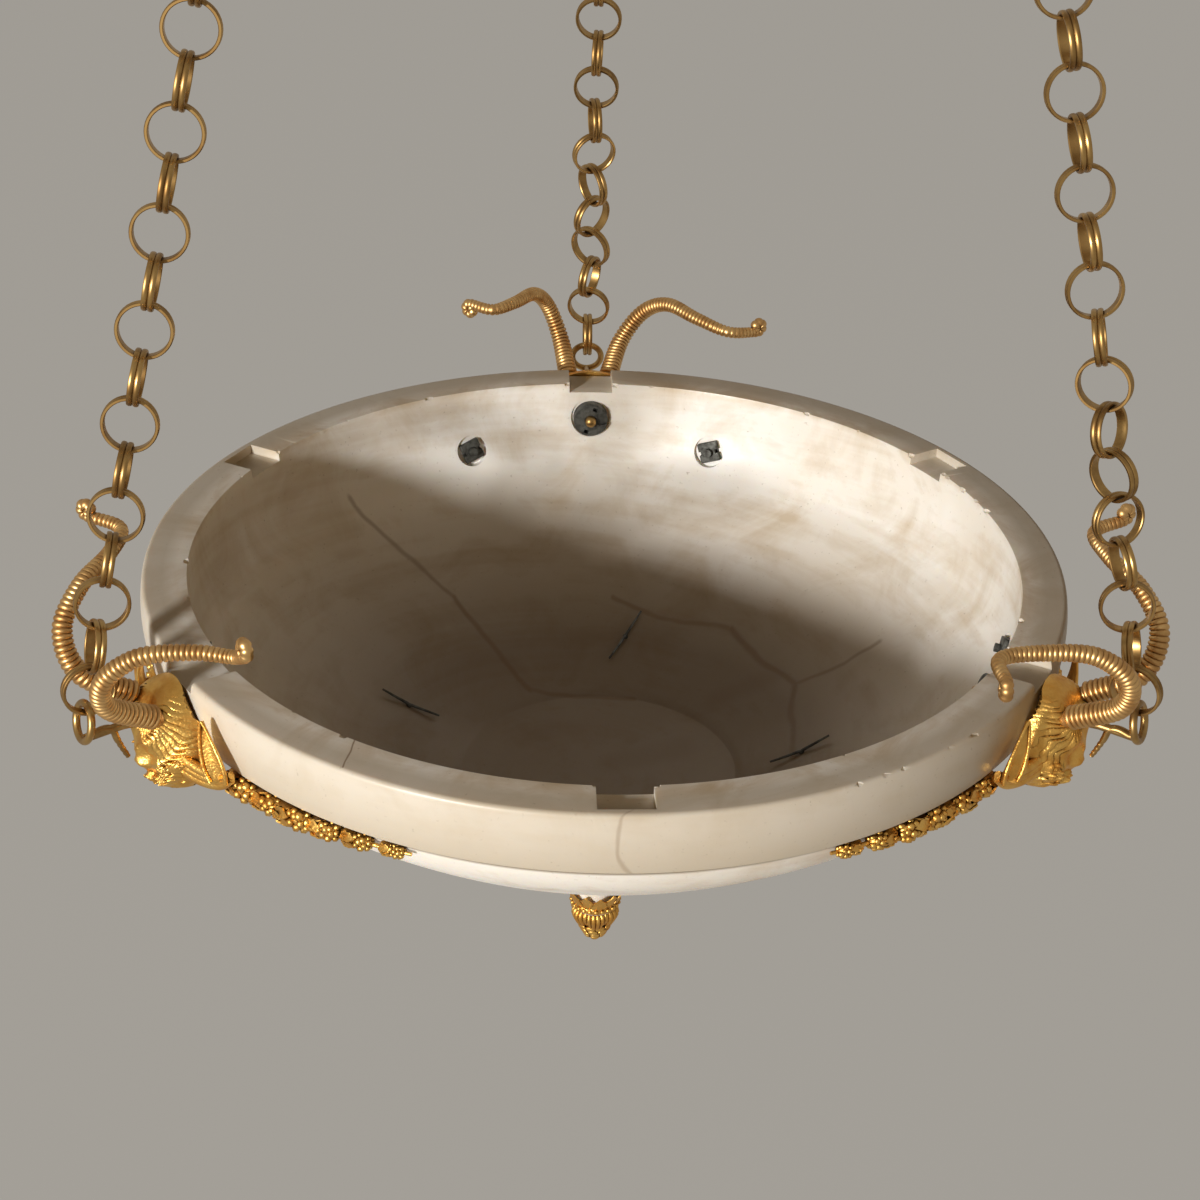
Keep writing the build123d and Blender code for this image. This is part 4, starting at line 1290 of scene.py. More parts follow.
@dataclass
class Sprays:
    """Six short sprays of fruit and leaves that trail from the masks under the rim's band."""

    finishes: Finishes
    underside: tuple[Triple, Triple]
    shoulder_level: float
    start: float = 9.5
    end: float = 36.0
    level: float = -43.5
    end_level: float = -41.0
    radius: float = 4.4
    end_radius: float = 2.4
    gap: float = 0.5
    stud_turn: float = 20.0
    stud_rise: float = 11.0
    stud_length: float = 29.5
    stud_radius: float = 2.5
    nut_seat: float = 22.5
    bunches: int = 6
    berries: int = 30
    leaves: int = 5

    def hang_point(self, level: float, stand: float) -> Triple:
        """Find a point that stands off the bowl's underside.

        Args:
            level: Level of the point, from the rim's top.
            stand: How far it stands off the stone.

        Returns:
            Its radius, and the outward and upward parts of the stone's normal there.
        """
        shoulder, wall = self.underside
        change = self.shoulder_level + stand * (self.shoulder_level - wall[1]) / wall[2]
        x, y, radius = shoulder if level > change else wall
        reach = x + math.sqrt((radius + stand) ** 2 - (level - y) ** 2)
        length = math.hypot(reach - x, level - y)
        return reach, (reach - x) / length, (level - y) / length

    def place(self, azimuth: float, side: float, turn: float) -> tuple[Vector, Vector, float]:
        """Find where a spray runs.

        Args:
            azimuth: Azimuth of its mask.
            side: 1 for the spray on one side of the mask and -1 for the other.
            turn: Degrees from the mask.

        Returns:
            Point, outward normal and radius of the spray there.
        """
        share = (turn - self.start) / (self.end - self.start)
        level = self.level + (self.end_level - self.level) * share
        size = self.radius + (self.end_radius - self.radius) * share**2
        reach, out, down = self.hang_point(level, size * math.cos(math.radians(30)) + self.gap)
        spot = azimuth + side * turn
        normal = LAYOUT.out(spot) * out + Vector((0.0, 0.0, down))
        return LAYOUT.point(reach, spot, level), normal, size

    def frame(self, azimuth: float, side: float, turn: float) -> tuple[Matrix, float]:
        """Find a frame on a spray.

        Args:
            azimuth: Azimuth of its mask.
            side: 1 for the spray on one side of the mask and -1 for the other.
            turn: Degrees from the mask.

        Returns:
            Frame with X away from the mask and Z out of the bowl, and the spray's radius.
        """
        point, normal, size = self.place(azimuth, side, turn)
        ahead = self.place(azimuth, side, turn + 0.5)[0] - self.place(azimuth, side, turn - 0.5)[0]
        return facing(point, normal, ahead), size

    def stud(self, azimuth: float, side: float) -> tuple[Vector, Vector]:
        """Find a spray's stud.

        Args:
            azimuth: Azimuth of its mask.
            side: 1 for the spray on one side of the mask and -1 for the other.

        Returns:
            The stud's start and its direction into the bowl.
        """
        rise = math.radians(self.stud_rise)
        inward = -LAYOUT.out(azimuth + side * self.stud_turn)
        start = self.place(azimuth, side, self.stud_turn)[0]
        return start, inward * math.cos(rise) + Vector((0.0, 0.0, math.sin(rise)))

    def add_bunch(self, bm: BMesh, place: Matrix, size: float, pick: random.Random) -> None:
        """Add one bunch: a husk that widens away from the mask, berries at its mouth and leaves over it.

        Args:
            bm: Mesh that receives the bunch.
            place: Frame on the spray.
            size: Radius of the bunch.
            pick: Source of the bunch's unevenness.
        """
        husk = ((-2.0, 0.3), (-1.4, 0.45), (-0.7, 0.62), (0.0, 0.85), (0.6, 0.95), (1.1, 0.8), (1.4, 0.4))
        line = [place @ Vector((size * x, 0.0, 0.0)) for x, _ in husk]
        girths = [(size * girth, size * girth * 0.9) for _, girth in husk]
        sweep(bm, path_places(line, girths, place.to_3x3().col[1]), 10)
        for number in range(self.berries):
            height = -0.95 + 1.9 * (number + 0.5) / self.berries
            angle = number * GOLDEN_ANGLE + pick.uniform(-0.25, 0.25)
            flat = math.sqrt(1 - height**2)
            across, out = 0.84 * flat * math.cos(angle), 0.78 * flat * math.sin(angle)
            berry = place @ Matrix.Translation(Vector((0.35 + 1.1 * height, across, out)) * size)
            bmesh.ops.create_icosphere(bm, subdivisions=1, radius=size * pick.uniform(0.34, 0.46), matrix=berry)
        for number in range(self.leaves):
            turn = math.radians(-104.0 + 52.0 * number + pick.uniform(-10.0, 10.0))
            root = Matrix.Rotation(turn, 4, "X") @ Matrix.Translation((-size * 1.9, 0.0, size * 0.55))
            tilt = Matrix.Rotation(math.radians(pick.uniform(-26.0, -18.0)), 4, "Y")
            length = size * pick.uniform(1.6, 2.1)
            leaf(bm, place @ root @ tilt, length, size * 1.3, size * 0.16, size * 0.3, 1.0, 3)

    def build(self) -> None:
        """Build the six sprays and their studs."""
        studs = bmesh.new()
        for station in Station:
            for hand, side in HANDS:
                pick = random.Random(f"{station.label}{hand}")
                bm = bmesh.new()
                turns = [self.start + (self.end - self.start) * number / 24 for number in range(25)]
                stem = [self.frame(station.value, side, turn) for turn in turns]
                sizes = [(size * 0.4, size * 0.4) for _, size in stem]
                sweep(bm, path_places([place.translation for place, _ in stem], sizes, UPWARD), 10)
                for number in range(self.bunches):
                    share = (number + 0.5) / self.bunches
                    turn = self.start + (self.end - self.start) * share
                    place, size = self.frame(station.value, side, turn)
                    self.add_bunch(bm, place, size * pick.uniform(1.3, 1.6), pick)
                name, node = f"fruit_spray_{station.label}_{hand}", f"spray_{station.label}_{hand}"
                Piece(name, "bowl", (node,), self.finishes.gilt, "gilt_bronze", 50.0).make(bm)
                start, into = self.stud(station.value, side)
                ends = [start, start + into * self.stud_length]
                sweep(studs, path_places(ends, [(self.stud_radius,) * 2] * 2, UPWARD), 14)
        Piece("spray_studs", "bowl", (), self.finishes.iron, "iron").make(studs)


@dataclass
class ChainHooks:
    """Three hooks: an eye, a shank through mask and wall, and a notched tail."""

    finishes: Finishes
    chain: Chain
    eye_inside: float = 7.4
    eye_section: float = 4.0
    eye_play: float = 1.25
    shank_radius: float = 3.5
    shank_past_link: float = 6.7

    def build(self) -> None:
        """Build the three hooks."""
        for station in Station:
            azimuth = station.value
            place = LAYOUT.station(azimuth)
            along = LAYOUT.along_chain(azimuth)
            link = place @ Vector((LAYOUT.hook_reach, 0.0, LAYOUT.hook_rise))
            bar = self.eye_section / 2
            middle = self.eye_inside + bar
            eye = link - along * (self.chain.inside - self.eye_play - bar) - along * middle
            bm = bmesh.new()
            ring = lathe(bm, round_section(middle, bar, 14), 40, closed=True)
            move(bm, ring, facing(eye, LAYOUT.chain_face(azimuth), LAYOUT.round(azimuth)))
            known = set(bm.verts)
            self.add_shank(bm)
            self.add_tail(bm)
            move(bm, [vert for vert in bm.verts if vert not in known], place)
            name, node = f"hook_{station.label}", f"chain_hook_{station.label}"
            Piece(name, "bowl", (node,), self.finishes.brass, "aged_brass", 50.0).make(bm)

    def add_shank(self, bm: BMesh) -> None:
        """Add the round shank with its rounded end inside the bowl.

        Args:
            bm: Mesh that receives the shank, in its station's frame.
        """
        reach, thick = LAYOUT.hook_reach + self.shank_past_link, self.shank_radius
        stops = [(-37.4, 0.4, 0.0), (-37.0, 2.4, 0.0), (-35.8, 3.3, 0.0), (-34.0, thick, 0.0)]
        stops += [(14.0, thick, 0.0), (18.0, 2.6, 0.0), (24.0, 2.3, 0.3), (30.0, 2.2, 0.6)]
        stops += [(36.0, 2.2, 0.3), (reach - 4.0, 2.2, -0.6), (reach, 2.0, -0.8)]
        points = [Vector((out, 0.0, LAYOUT.shank_level + rise)) for out, _, rise in stops]
        sweep(bm, path_places(points, [(size, size) for _, size, _ in stops], Vector((0.0, 1.0, 0.0))), 20)

    def add_tail(self, bm: BMesh) -> None:
        """Add the tail that bends down over the brow and ends in notches.

        Args:
            bm: Mesh that receives the tail, in its station's frame.
        """
        knots = [(46.0, -22.4), (40.0, -20.8), (35.5, -22.2), (33.6, -28.2), (31.0, -34.8), (28.4, -40.6)]
        points = even(spline([Vector((out, 0.0, up)) for out, up in knots], 6), 41)
        sizes = []
        for number in range(len(points)):
            share = number / (len(points) - 1)
            size = 2.6 - 1.0 * share
            if share > 0.6:
                size *= 0.8 + 0.2 * abs(math.cos(math.pi * number / 4))
            sizes.append((size, size * 0.85))
        sizes[-1] = (0.5, 0.5)
        sweep(bm, path_places(points, sizes, Vector((0.0, 1.0, 0.0))), 12)


@dataclass
class Fasteners:
    """Iron nuts inside the bowl and wire split pins through its wall."""

    finishes: Finishes
    sprays: Sprays
    inner_wall: Triple
    nut_radius: float = 10.8
    nut_height: float = 7.0
    square_width: float = 12.5
    square_height: float = 4.0
    pin_circle: float = 115.0
    pin_lean: float = 32.0
    pin_wire: float = 1.6
    pin_eye: float = 4.0
    pins: tuple[Point, ...] = ((80.0, 114.0), (163.0, 73.0), (352.0, 88.0))

    def round_nut(self) -> BMesh:
        """Make one round nut with two spanner holes and a worn sector.

        Returns:
            The nut, standing up from its seat.
        """
        bm = bmesh.new()
        rim, top = self.nut_radius, self.nut_height
        profile = [(3.65, 0.0), (rim - 0.6, 0.0), (rim, 0.6), (rim, top - 0.7), (rim - 0.6, top), (3.65, top)]
        lathe(bm, profile, 48, closed=True)
        cut = bmesh.new()
        for turn in (70.0, 250.0):
            place = Matrix.Rotation(math.radians(turn), 4, "Z") @ Matrix.Translation((7.9, 0.0, 6.4))
            bmesh.ops.create_cube(cut, size=1.0, matrix=place @ Matrix.Diagonal((2.4, 2.8, 5.0, 1.0)))
        place = Matrix.Rotation(math.radians(10.0), 4, "Z") @ Matrix.Translation((9.0, 0.0, 7.2))
        worn = place @ Matrix.Rotation(math.radians(12.0), 4, "Y")
        bmesh.ops.create_cube(cut, size=1.0, matrix=worn @ Matrix.Diagonal((9.0, 8.0, 3.4, 1.0)))
        return carve(bm, cut)

    def square_nut(self) -> BMesh:
        """Make one square nut with two opposite notches.

        Returns:
            The nut, standing up from its seat.
        """
        bm = bmesh.new()
        size = Matrix.Diagonal((self.square_width, self.square_width, self.square_height, 1.0))
        middle = Matrix.Translation((0.0, 0.0, self.square_height / 2))
        bmesh.ops.create_cube(bm, size=1.0, matrix=middle @ size)
        bmesh.ops.bevel(bm, geom=list(bm.edges), offset=0.5, segments=2, profile=0.5, affect="EDGES", material=-1)
        cut = bmesh.new()
        bmesh.ops.create_cone(cut, cap_ends=True, segments=20, radius1=2.65, radius2=2.65, depth=20.0)
        for side in (-6.2, 6.2):
            place = Matrix.Translation((side, 0.0, 3.2))
            bmesh.ops.create_cube(cut, size=1.0, matrix=place @ Matrix.Diagonal((4.0, 2.6, 6.0, 1.0)))
        return carve(bm, cut)

    def build(self) -> None:
        """Build nuts and pins."""
        nut, bm = self.round_nut(), bmesh.new()
        for station in Station:
            seat = LAYOUT.station(station.value) @ Vector((-26.0, 0.0, LAYOUT.shank_level))
            add_copy(bm, nut, facing(seat, -LAYOUT.out(station.value), -LAYOUT.round(station.value)))
        nut.free()
        Piece("round_nuts", "bowl", ("mask_nuts",), self.finishes.iron, "iron").make(bm)
        nut, bm = self.square_nut(), bmesh.new()
        for station in Station:
            for side in (1.0, -1.0):
                point, into = self.sprays.stud(station.value, side)
                across = LAYOUT.round(station.value + side * self.sprays.stud_turn)
                seat = facing(point + into * self.sprays.nut_seat, into, across)
                add_copy(bm, nut, seat @ Matrix.Rotation(math.radians(20.0), 4, "Z"))
        nut.free()
        Piece("notched_nuts", "bowl", ("square_nuts",), self.finishes.iron, "iron").make(bm)
        bm = bmesh.new()
        for azimuth, turn in self.pins:
            self.add_pin(bm, azimuth, turn)
        Piece("wire_pins", "bowl", ("split_pins",), self.finishes.iron, "iron").make(bm)

    def add_pin(self, bm: BMesh, azimuth: float, turn: float) -> None:
        """Add one split pin: an eye below the bowl, a shank through it and two legs bent over inside.

        Args:
            bm: Mesh that receives the pin.
            azimuth: Azimuth of the pin.
            turn: Degrees by which its legs turn up the slope.
        """
        x, y, radius = self.inner_wall
        level = y - math.sqrt(radius**2 - (self.pin_circle - x) ** 2)
        foot = LAYOUT.point(self.pin_circle, azimuth, level)
        lean = math.radians(self.pin_lean)
        normal = Vector((0.0, 0.0, math.cos(lean))) - LAYOUT.out(azimuth) * math.sin(lean)
        slope = LAYOUT.out(azimuth) * math.cos(lean) + Vector((0.0, 0.0, math.sin(lean)))
        leg = LAYOUT.round(azimuth) * math.cos(math.radians(turn)) + slope * math.sin(math.radians(turn))
        outer = foot - normal * 21.5
        sweep(bm, path_places([outer, foot + normal * 1.0], [(self.pin_wire,) * 2] * 2, slope), 10)
        ring = lathe(bm, round_section(self.pin_eye, self.pin_wire, 10), 24, closed=True)
        move(bm, ring, facing(outer - normal * self.pin_eye, LAYOUT.round(azimuth), normal))
        bends = ((0.2, 0.0), (1.3, 1.2), (2.0, 9.0), (3.0, 18.8))
        for sense in (1.0, -1.0):
            points = spline([foot + normal * up + leg * sense * out for up, out in bends], 5)
            sizes = [(1.1 - 0.5 * k / (len(points) - 1),) * 2 for k in range(len(points))]
            sweep(bm, path_places(points, sizes, normal.cross(leg)), 8)


@dataclass
class Finial:
    """Drop finial: leaf collar, ribbed shell cup and pine cone on a rod."""

    finishes: Finishes
    top: float = LAYOUT.rim_top + LAYOUT.foot_level
    rod_radius: float = 3.0
    rod_down: float = 20.0
    rod_up: float = 30.0
    leaves: int = 12
    beads: int = 24

    def build(self) -> None:
        """Build the four pieces of the finial."""
        self.build_collar()
        self.build_cup()
        self.build_cone()
        bm = bmesh.new()
        low, high, thick = self.top - self.rod_down, self.top + self.rod_up, self.rod_radius
        lathe(bm, [(0.0, low), (thick, low), (thick, high), (0.0, high)], 16)
        Piece("drop_rod", "bowl", ("finial_rod",), self.finishes.gilt, "gilt_bronze").make(bm)

    def build_collar(self) -> None:
        """Build the collar: a beaded ring round the bowl's neck and leaves that flare from it."""
        bm = bmesh.new()
        ring = [(12.6, 0.8), (13.8, 0.8), (14.3, 2.2), (14.3, 3.6), (13.6, 4.8), (12.6, 4.8)]
        lathe(bm, ring, 48, closed=True)
        lean = Vector((0.95, 0.0, -0.31)).normalized()
        for number in range(self.leaves):
            turn = Matrix.Rotation(TURN * (number + 0.25) / self.leaves, 4, "Z")
            root = facing(Vector((13.2 + 0.5 * (number % 2), 0.0, 2.0)), lean, UPWARD)
            leaf(bm, turn @ root, 13.2, 10.6, -1.2, -0.4, 0.8, 3)
        for number in range(self.beads):
            spot = Matrix.Rotation(TURN * number / self.beads, 4, "Z") @ Vector((14.0, 0.0, 2.9))
            bmesh.ops.create_icosphere(bm, subdivisions=2, radius=1.5, matrix=Matrix.Translation(spot))
        move(bm, list(bm.verts), Matrix.Translation((0.0, 0.0, self.top)))
        Piece("leaf_collar", "bowl", ("finial_collar",), self.finishes.gilt, "gilt_bronze", 50.0).make(bm)

    def build_cup(self) -> None:
        """Build the cup: a turned skin whose ribs gather into six shells."""
        bm = bmesh.new()
        profile = [(3.3, 1.2), (11.8, 1.2), (13.8, 0.4), (14.8, -1.8), (14.6, -4.4), (13.6, -7.2), (12.4, -9.8)]
        profile += [(11.4, -11.8), (9.9, -12.6), (3.3, -12.6)]
        verts = lathe(bm, profile, 240, closed=True)
        for vert in verts:
            angle, reach = math.atan2(vert.co.y, vert.co.x), math.hypot(vert.co.x, vert.co.y)
            if reach > 9.0:
                depth = min(1.0, (2.0 - vert.co.z) / 6.0)
                rib = 0.085 * abs(math.cos(15 * angle)) ** 0.7
                shell = 0.1 * depth * abs(math.sin(3 * angle)) ** 0.8
                grown = reach * (0.85 + rib * (0.5 + 0.5 * depth) + shell)
                vert.co.x, vert.co.y = grown * math.cos(angle), grown * math.sin(angle)
                if vert.co.z < -9.0:
                    vert.co.z += 2.2 * (1 - abs(math.sin(3 * angle)) ** 0.8)
        move(bm, list(bm.verts), Matrix.Translation((0.0, 0.0, self.top)))
        Piece("shell_cup", "bowl", ("finial_cup",), self.finishes.gilt, "gilt_bronze", 60.0).make(bm)

    def build_cone(self) -> None:
        """Build the pine cone: a turned core under rows of rounded scales."""
        bm = bmesh.new()
        core = [(0.0, -25.6), (2.4, -25.0), (5.2, -21.6), (7.5, -17.4), (9.0, -13.0), (8.8, -11.6), (0.0, -11.6)]
        lathe(bm, core, 24)
        rows = ((9.3, -13.2, 10), (8.5, -16.0, 9), (7.1, -18.8, 8), (5.3, -21.6, 6), (2.9, -23.9, 4))
        for row, (radius, level, count) in enumerate(rows):
            for number in range(count):
                turn = Matrix.Rotation(TURN * (number + 0.5 * (row % 2)) / count, 4, "Z")
                tilt = Matrix.Rotation(math.radians(14.0 + 10.0 * row), 4, "Y")
                size = TURN * radius / count * 0.54
                scale = Matrix.Diagonal((1.35, size, 2.0, 1.0))
                place = Matrix.Translation((radius, 0.0, level)) @ tilt @ scale
                bmesh.ops.create_icosphere(bm, subdivisions=2, radius=1.0, matrix=turn @ place)
        move(bm, list(bm.verts), Matrix.Translation((0.0, 0.0, self.top)))
        Piece("pine_cone_drop", "bowl", ("pine_cone",), self.finishes.gilt, "gilt_bronze", 60.0).make(bm)


@dataclass
class Crown:
    """Crown ring on three bowed arms, its boss, loop, eyebolts and nuts."""

    finishes: Finishes
    chain: Chain
    ring_radius: float = 143.66
    boss_top: float = -119.275
    boss_bottom: float = -151.275
    ring_top: float = -233.275
    loop_level: float = -99.275
    ring_half: float = 11.0
    ring_height: float = 6.0
    ring_ease: float = 1.2
    arm_bow: float = -16.0

    def torus(self, bm: BMesh, inside: float, bar: float, place: Matrix) -> None:
        """Add a round ring of round bar, lying in its frame's XY plane."""
        ring = round_section(inside + bar / 2, bar / 2, 18)
        move(bm, lathe(bm, ring, 56, closed=True), place)

    def hexagon(self, bm: BMesh, radius: float, height: float, hole: float, place: Matrix) -> None:
        """Add a hexagon nut with eased corners.

        Args:
            bm: Mesh that receives the nut.
            radius: Radius to its corners.
            height: Height of the nut.
            hole: Radius of its hole.
            place: Frame that it stands on.
        """
        nut, cut = bmesh.new(), bmesh.new()
        size = {"segments": 6, "radius1": radius, "radius2": radius, "depth": height}
        bmesh.ops.create_cone(nut, cap_ends=True, matrix=Matrix.Translation((0, 0, height / 2)), **size)
        bmesh.ops.bevel(nut, geom=list(nut.edges), offset=0.45, segments=2, profile=0.5, affect="EDGES", material=-1)
        bmesh.ops.create_cone(cut, cap_ends=True, segments=24, radius1=hole, radius2=hole, depth=4 * height)
        made = carve(nut, cut)
        add_copy(bm, made, place)
        made.free()

    def build(self) -> None:
        """Build the crown's five pieces."""
        self.build_frame()
        bm = bmesh.new()
        upright = facing(Vector((0, 0, self.loop_level)), Vector((0, -1, 0)), Vector((1, 0, 0)))
        self.torus(bm, 11.0, 6.0, upright)
        foot, head = self.boss_bottom - 9.0, self.loop_level - 12.0
        lathe(bm, [(0.0, foot), (3.4, foot), (4.0, foot + 0.8), (4.0, head), (0.0, head)], 24)
        Piece("lifting_loop", "crown", ("crown_loop",), self.finishes.brass, "aged_brass").make(bm)
        bm = bmesh.new()
        self.hexagon(bm, 8.0, 6.0, 4.15, Matrix.Translation((0.0, 0.0, self.boss_bottom - 6.0)))
        Piece("loop_nut", "crown", ("crown_loop_nut",), self.finishes.brass, "aged_brass").make(bm)
        bolts, nuts = bmesh.new(), bmesh.new()
        for station in Station:
            self.chain.add_link(bolts, station, self.chain.count)
            eye = self.chain.link_place(station, self.chain.count) @ Vector((0.0, 12.7, 0.0))
            spot = LAYOUT.out(station.value) * self.ring_radius
            line = [Vector((spot.x, spot.y, eye.z)), Vector((spot.x, spot.y, self.ring_top + 8.0))]
            sweep(bolts, path_places(line, [(3.0, 3.0)] * 2, Vector((1.0, 0.0, 0.0))), 18)
            self.hexagon(nuts, 6.0, 5.0, 3.15, Matrix.Translation((spot.x, spot.y, self.ring_top)))
        Piece("eyebolts", "crown", ("crown_eyebolts",), self.finishes.brass, "aged_brass").make(bolts)
        Piece("eyebolt_nuts", "crown", ("crown_eye_nuts",), self.finishes.brass, "aged_brass").make(nuts)

    def build_frame(self) -> None:
        """Build the ring, boss and bowed arms."""
        bm = bmesh.new()
        inner, outer, ease = self.ring_radius - self.ring_half, self.ring_radius + self.ring_half, self.ring_ease
        top, low = self.ring_top, self.ring_top - self.ring_height
        ring = [(inner, low + ease), (inner + ease, low), (outer - ease, low), (outer, low + ease)]
        ring += [(outer, top - ease), (outer - ease, top), (inner + ease, top), (inner, top - ease)]
        lathe(bm, ring, 120, closed=True)
        foot, head = self.boss_bottom, self.boss_top
        boss = [(4.3, foot), (13.0, foot), (15.0, foot + 2.0), (15.0, foot + 8.0), (13.4, foot + 9.5)]
        boss += [(13.4, head - 9.5), (15.0, head - 8.0), (15.0, head - 2.0), (13.0, head), (4.3, head)]
        lathe(bm, boss, 48, closed=True)
        low, high = self.ring_top - 3.0, self.boss_top - 8.0
        foot_out, foot_in = (self.ring_radius + 6.0, low), (self.ring_radius - 6.0, low)
        head_out, head_in = (13.0, high), (13.0, high - 16.0)
        upper = arc(foot_out, bulged(foot_out, head_out, self.arm_bow), head_out, 24)
        lower = arc(foot_in, bulged(foot_in, head_in, self.arm_bow), head_in, 24)
        for station in Station:
            places = []
            azimuth = station.value + 60.0
            for a, b in zip(upper, lower):
                first = LAYOUT.out(azimuth) * a[0] + Vector((0, 0, a[1]))
                second = LAYOUT.out(azimuth) * b[0] + Vector((0, 0, b[1]))
                tall = (second - first) / 2
                size = Matrix.Diagonal((4.0, tall.length, 4.0, 1.0))
                places.append(frame_of(LAYOUT.round(azimuth), tall.normalized(), (first + second) / 2) @ size)
            sweep(bm, places, 20)
        Piece("crown_hoop", "crown", ("crown_frame",), self.finishes.brass, "aged_brass").make(bm)


@dataclass
class CeilingFitting:
    """Ceiling plate, lock nut, hook and the ring that hangs in it."""

    finishes: Finishes
    crown: Crown
    plate_radius: float = 42.0
    screw_circle: float = 30.0
    screw_hole: float = 2.5
    ring_middle: float = -72.1
    hook_bottom: float = -60.0
    bend_radius: float = 17.0
    bar: float = 4.3

    def build(self) -> None:
        """Build the four pieces of the fitting."""
        bm, cut = bmesh.new(), bmesh.new()
        wide = self.plate_radius
        lathe(bm, [(0.0, 0.0), (wide, 0.0), (wide, -3.4), (wide - 1.0, -4.6), (wide - 2.6, -5.0), (0.0, -5.0)], 72)
        bmesh.ops.remove_doubles(bm, verts=bm.verts, dist=0.001)
        for azimuth in (0.0, 120.0, 240.0):
            spot = Matrix.Translation(LAYOUT.out(azimuth) * self.screw_circle)
            size = {"segments": 24, "radius1": self.screw_hole, "radius2": self.screw_hole, "depth": 40.0}
            bmesh.ops.create_cone(cut, cap_ends=True, matrix=spot, **size)
        Piece("rose_plate", "ceiling", ("ceiling_plate",), self.finishes.dark, "dark_brass").make(carve(bm, cut))
        bm = bmesh.new()
        self.crown.hexagon(bm, 8.0, 5.0, 4.15, Matrix.Translation((0.0, 0.0, -10.0)))
        Piece("plate_nut", "ceiling", ("hook_lock_nut",), self.finishes.dark, "dark_brass").make(bm)
        bm = bmesh.new()
        level = self.hook_bottom + self.bend_radius
        bends = [(0.0, -10.4), (0.0, -17.0), (2.2, -23.5), (11.0, -30.5)]
        for step in range(15):
            angle = math.radians(15.0 - 205.0 * step / 14)
            bends.append((self.bend_radius * math.cos(angle), level + self.bend_radius * math.sin(angle)))
        points = spline([Vector((out, 0.0, up)) for out, up in bends], 4)
        sizes = [(self.bar, self.bar)] * (len(points) - 1) + [(self.bar * 0.6, self.bar * 0.6)]
        sweep(bm, path_places(points, sizes, Vector((0.0, 1.0, 0.0))), 20)
        lathe(bm, [(0.0, -0.4), (4.0, -0.4), (4.0, -11.0), (0.0, -11.0)], 20)
        Piece("hanging_hook", "ceiling", ("ceiling_hook",), self.finishes.dark, "dark_brass").make(bm)
        bm = bmesh.new()
        upright = facing(Vector((0, 0, self.ring_middle)), Vector((1, 0, 0)), Vector((0, 1, 0)))
        self.crown.torus(bm, 17.0, 6.0, upright)
        Piece("carrier_ring", "hanging_ring", ("suspension_ring",), self.finishes.brass, "aged_brass").make(bm)


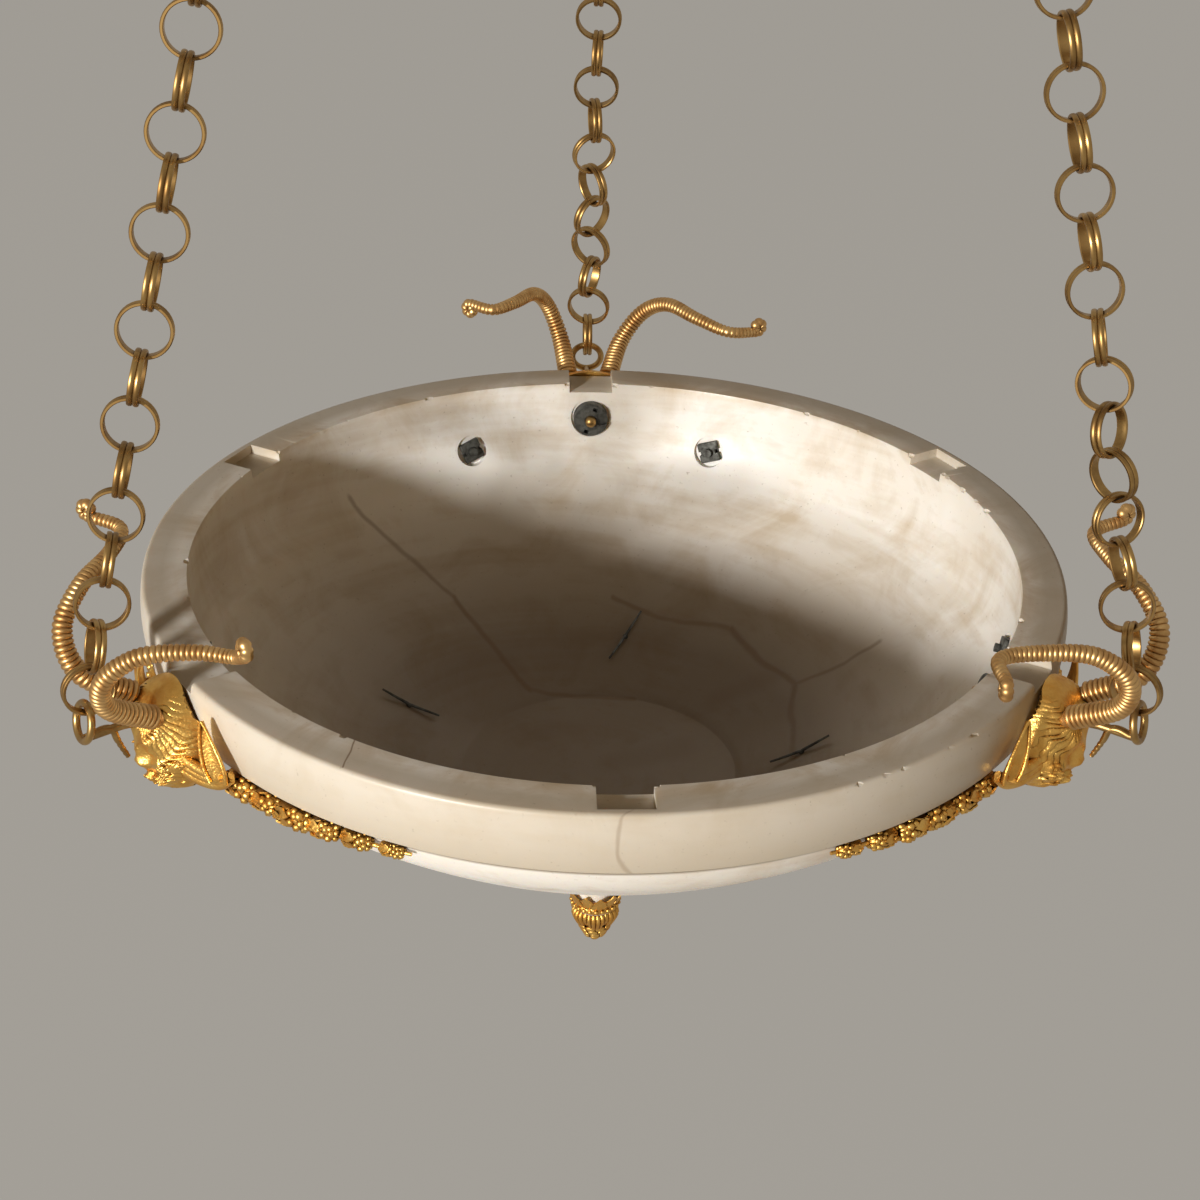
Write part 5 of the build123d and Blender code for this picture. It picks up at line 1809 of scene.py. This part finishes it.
@dataclass
class Studio:
    """Pale floor, low soft key light, a dim warm surround and the camera."""

    floor_level: float = -1.62
    floor_colour: str = "#CFCBC4"
    floor_glow: float = 0.9
    backdrop: str = "#A5A19A"
    zenith: float = 0.1
    horizon: float = 0.36
    surround: str = "#F6CC8C"
    key_azimuth: float = 233.0
    key_distance: float = 5.0
    key_height: float = 1.05
    key_power: float = 285.0
    key_size: float = 0.45
    key_colour: str = "#FFFCF8"
    camera_place: Triple = (-0.05935, -1.09698, -0.29216)
    camera_run: Triple = (0.045308, 0.869568, -0.491731)
    camera_roll: float = 1.62
    lens: float = 68.68

    def build(self) -> None:
        """Build floor, key light, world and camera."""
        self.build_floor()
        self.build_world()
        away = LAYOUT.out(self.key_azimuth) * self.key_distance + Vector((0.0, 0.0, self.key_height))
        light = bpy.data.lights.new("key_light", "AREA")
        light.shape = "DISK"
        light.size = self.key_size
        light.energy = self.key_power
        light.color = linear(self.key_colour)[:3]
        key = bpy.data.objects.new("key_light", light)
        key.location = away + Vector((0.0, 0.0, LAYOUT.rim_top * MM))
        key.rotation_euler = (-away).to_track_quat("-Z", "Y").to_euler()
        bpy.context.scene.collection.objects.link(key)
        camera = bpy.data.objects.new("camera", bpy.data.cameras.new("camera"))
        camera.data.lens = self.lens
        camera.data.sensor_width = 36.0
        camera.location = self.camera_place
        turn = Vector(self.camera_run).to_track_quat("-Z", "Y")
        roll = Quaternion((0.0, 0.0, 1.0), math.radians(self.camera_roll))
        camera.rotation_euler = (turn @ roll).to_euler()
        bpy.context.scene.collection.objects.link(camera)
        bpy.context.scene.camera = camera

    def shown(self, tree: NodeTree) -> NodeSocket:
        """Mark the rays that show the plain backdrop: those of the camera, of gloss and of clear matter.

        Args:
            tree: Node tree of the floor or the surround.

        Returns:
            Socket that is 1 for those rays and 0 for the light that falls on the object.
        """
        rays = add_node(tree, "ShaderNodeLightPath").outputs
        seen = {0: rays["Is Camera Ray"], 1: rays["Is Glossy Ray"]}
        direct = add_node(tree, "ShaderNodeMath", seen, operation="MAXIMUM").outputs[0]
        through = {0: direct, 1: rays["Is Transmission Ray"]}
        return add_node(tree, "ShaderNodeMath", through, operation="MAXIMUM").outputs[0]

    def build_floor(self) -> None:
        """Build a wide matt floor that looks evenly lit."""
        bm = bmesh.new()
        place = Matrix.Translation((0.0, 0.0, self.floor_level))
        bmesh.ops.create_grid(bm, x_segments=1, y_segments=1, size=14.0, matrix=place)
        mesh = bpy.data.meshes.new("studio_floor")
        bm.to_mesh(mesh)
        bm.free()
        material, tree = blank_material("matt_paper")
        matt = {"Base Color": linear(self.floor_colour), "Roughness": 0.9}
        paper = add_node(tree, "ShaderNodeBsdfPrincipled", matt)
        even_tone = add_node(tree, "ShaderNodeEmission", {"Color": linear(self.backdrop)})
        share = {0: self.shown(tree), 1: self.floor_glow}
        seen = add_node(tree, "ShaderNodeMath", share, operation="MULTIPLY").outputs[0]
        mixed = add_node(tree, "ShaderNodeMixShader", {0: seen, 1: paper.outputs[0], 2: even_tone.outputs[0]})
        add_node(tree, "ShaderNodeOutputMaterial", {"Surface": mixed.outputs[0]})
        mesh.materials.append(material)
        floor = bpy.data.objects.new("studio_floor", mesh)
        bpy.context.scene.collection.objects.link(floor)

    def build_world(self) -> None:
        """Build a surround that is dim overhead and brighter round the horizon."""
        world = bpy.data.worlds.new("studio_surround")
        world.use_nodes = True
        tree = world.node_tree
        tree.nodes.clear()
        coords = add_node(tree, "ShaderNodeTexCoord").outputs["Generated"]
        height = add_node(tree, "ShaderNodeSeparateXYZ", {0: coords}).outputs[2]
        fall = {"Value": height, "From Min": 0.0, "From Max": 0.5, "To Min": self.horizon, "To Max": self.zenith}
        level = add_node(tree, "ShaderNodeMapRange", fall, interpolation_type="SMOOTHSTEP").outputs[0]
        glow = add_node(tree, "ShaderNodeBackground", {"Color": linear(self.surround), "Strength": level})
        even_tone = add_node(tree, "ShaderNodeBackground", {"Color": linear(self.backdrop)})
        sides = {0: self.shown(tree), 1: glow.outputs[0], 2: even_tone.outputs[0]}
        mixed = add_node(tree, "ShaderNodeMixShader", sides)
        add_node(tree, "ShaderNodeOutputWorld", {"Surface": mixed.outputs[0]})
        bpy.context.scene.world = world


def main() -> None:
    """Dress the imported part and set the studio."""
    logging.basicConfig(level=logging.INFO, format="%(asctime)s %(name)s: %(message)s")
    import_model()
    bpy.context.scene.view_settings.view_transform = "Standard"
    finishes = Finishes.build()
    bowl = Bowl(finishes)
    sprays = Sprays(finishes, bowl.underside(), bowl.shoulder[1])
    chain = Chain(finishes)
    crown = Crown(finishes, chain)
    bowl.build(sprays)
    hooks, fasteners = ChainHooks(finishes, chain), Fasteners(finishes, sprays, bowl.inner_wall())
    mounts = (Horns(finishes), Masks(finishes), sprays, hooks, fasteners)
    for group in (chain, *mounts, Finial(finishes), crown, CeilingFitting(finishes, crown), Studio()):
        group.build()


if __name__ == "__main__":
    main()
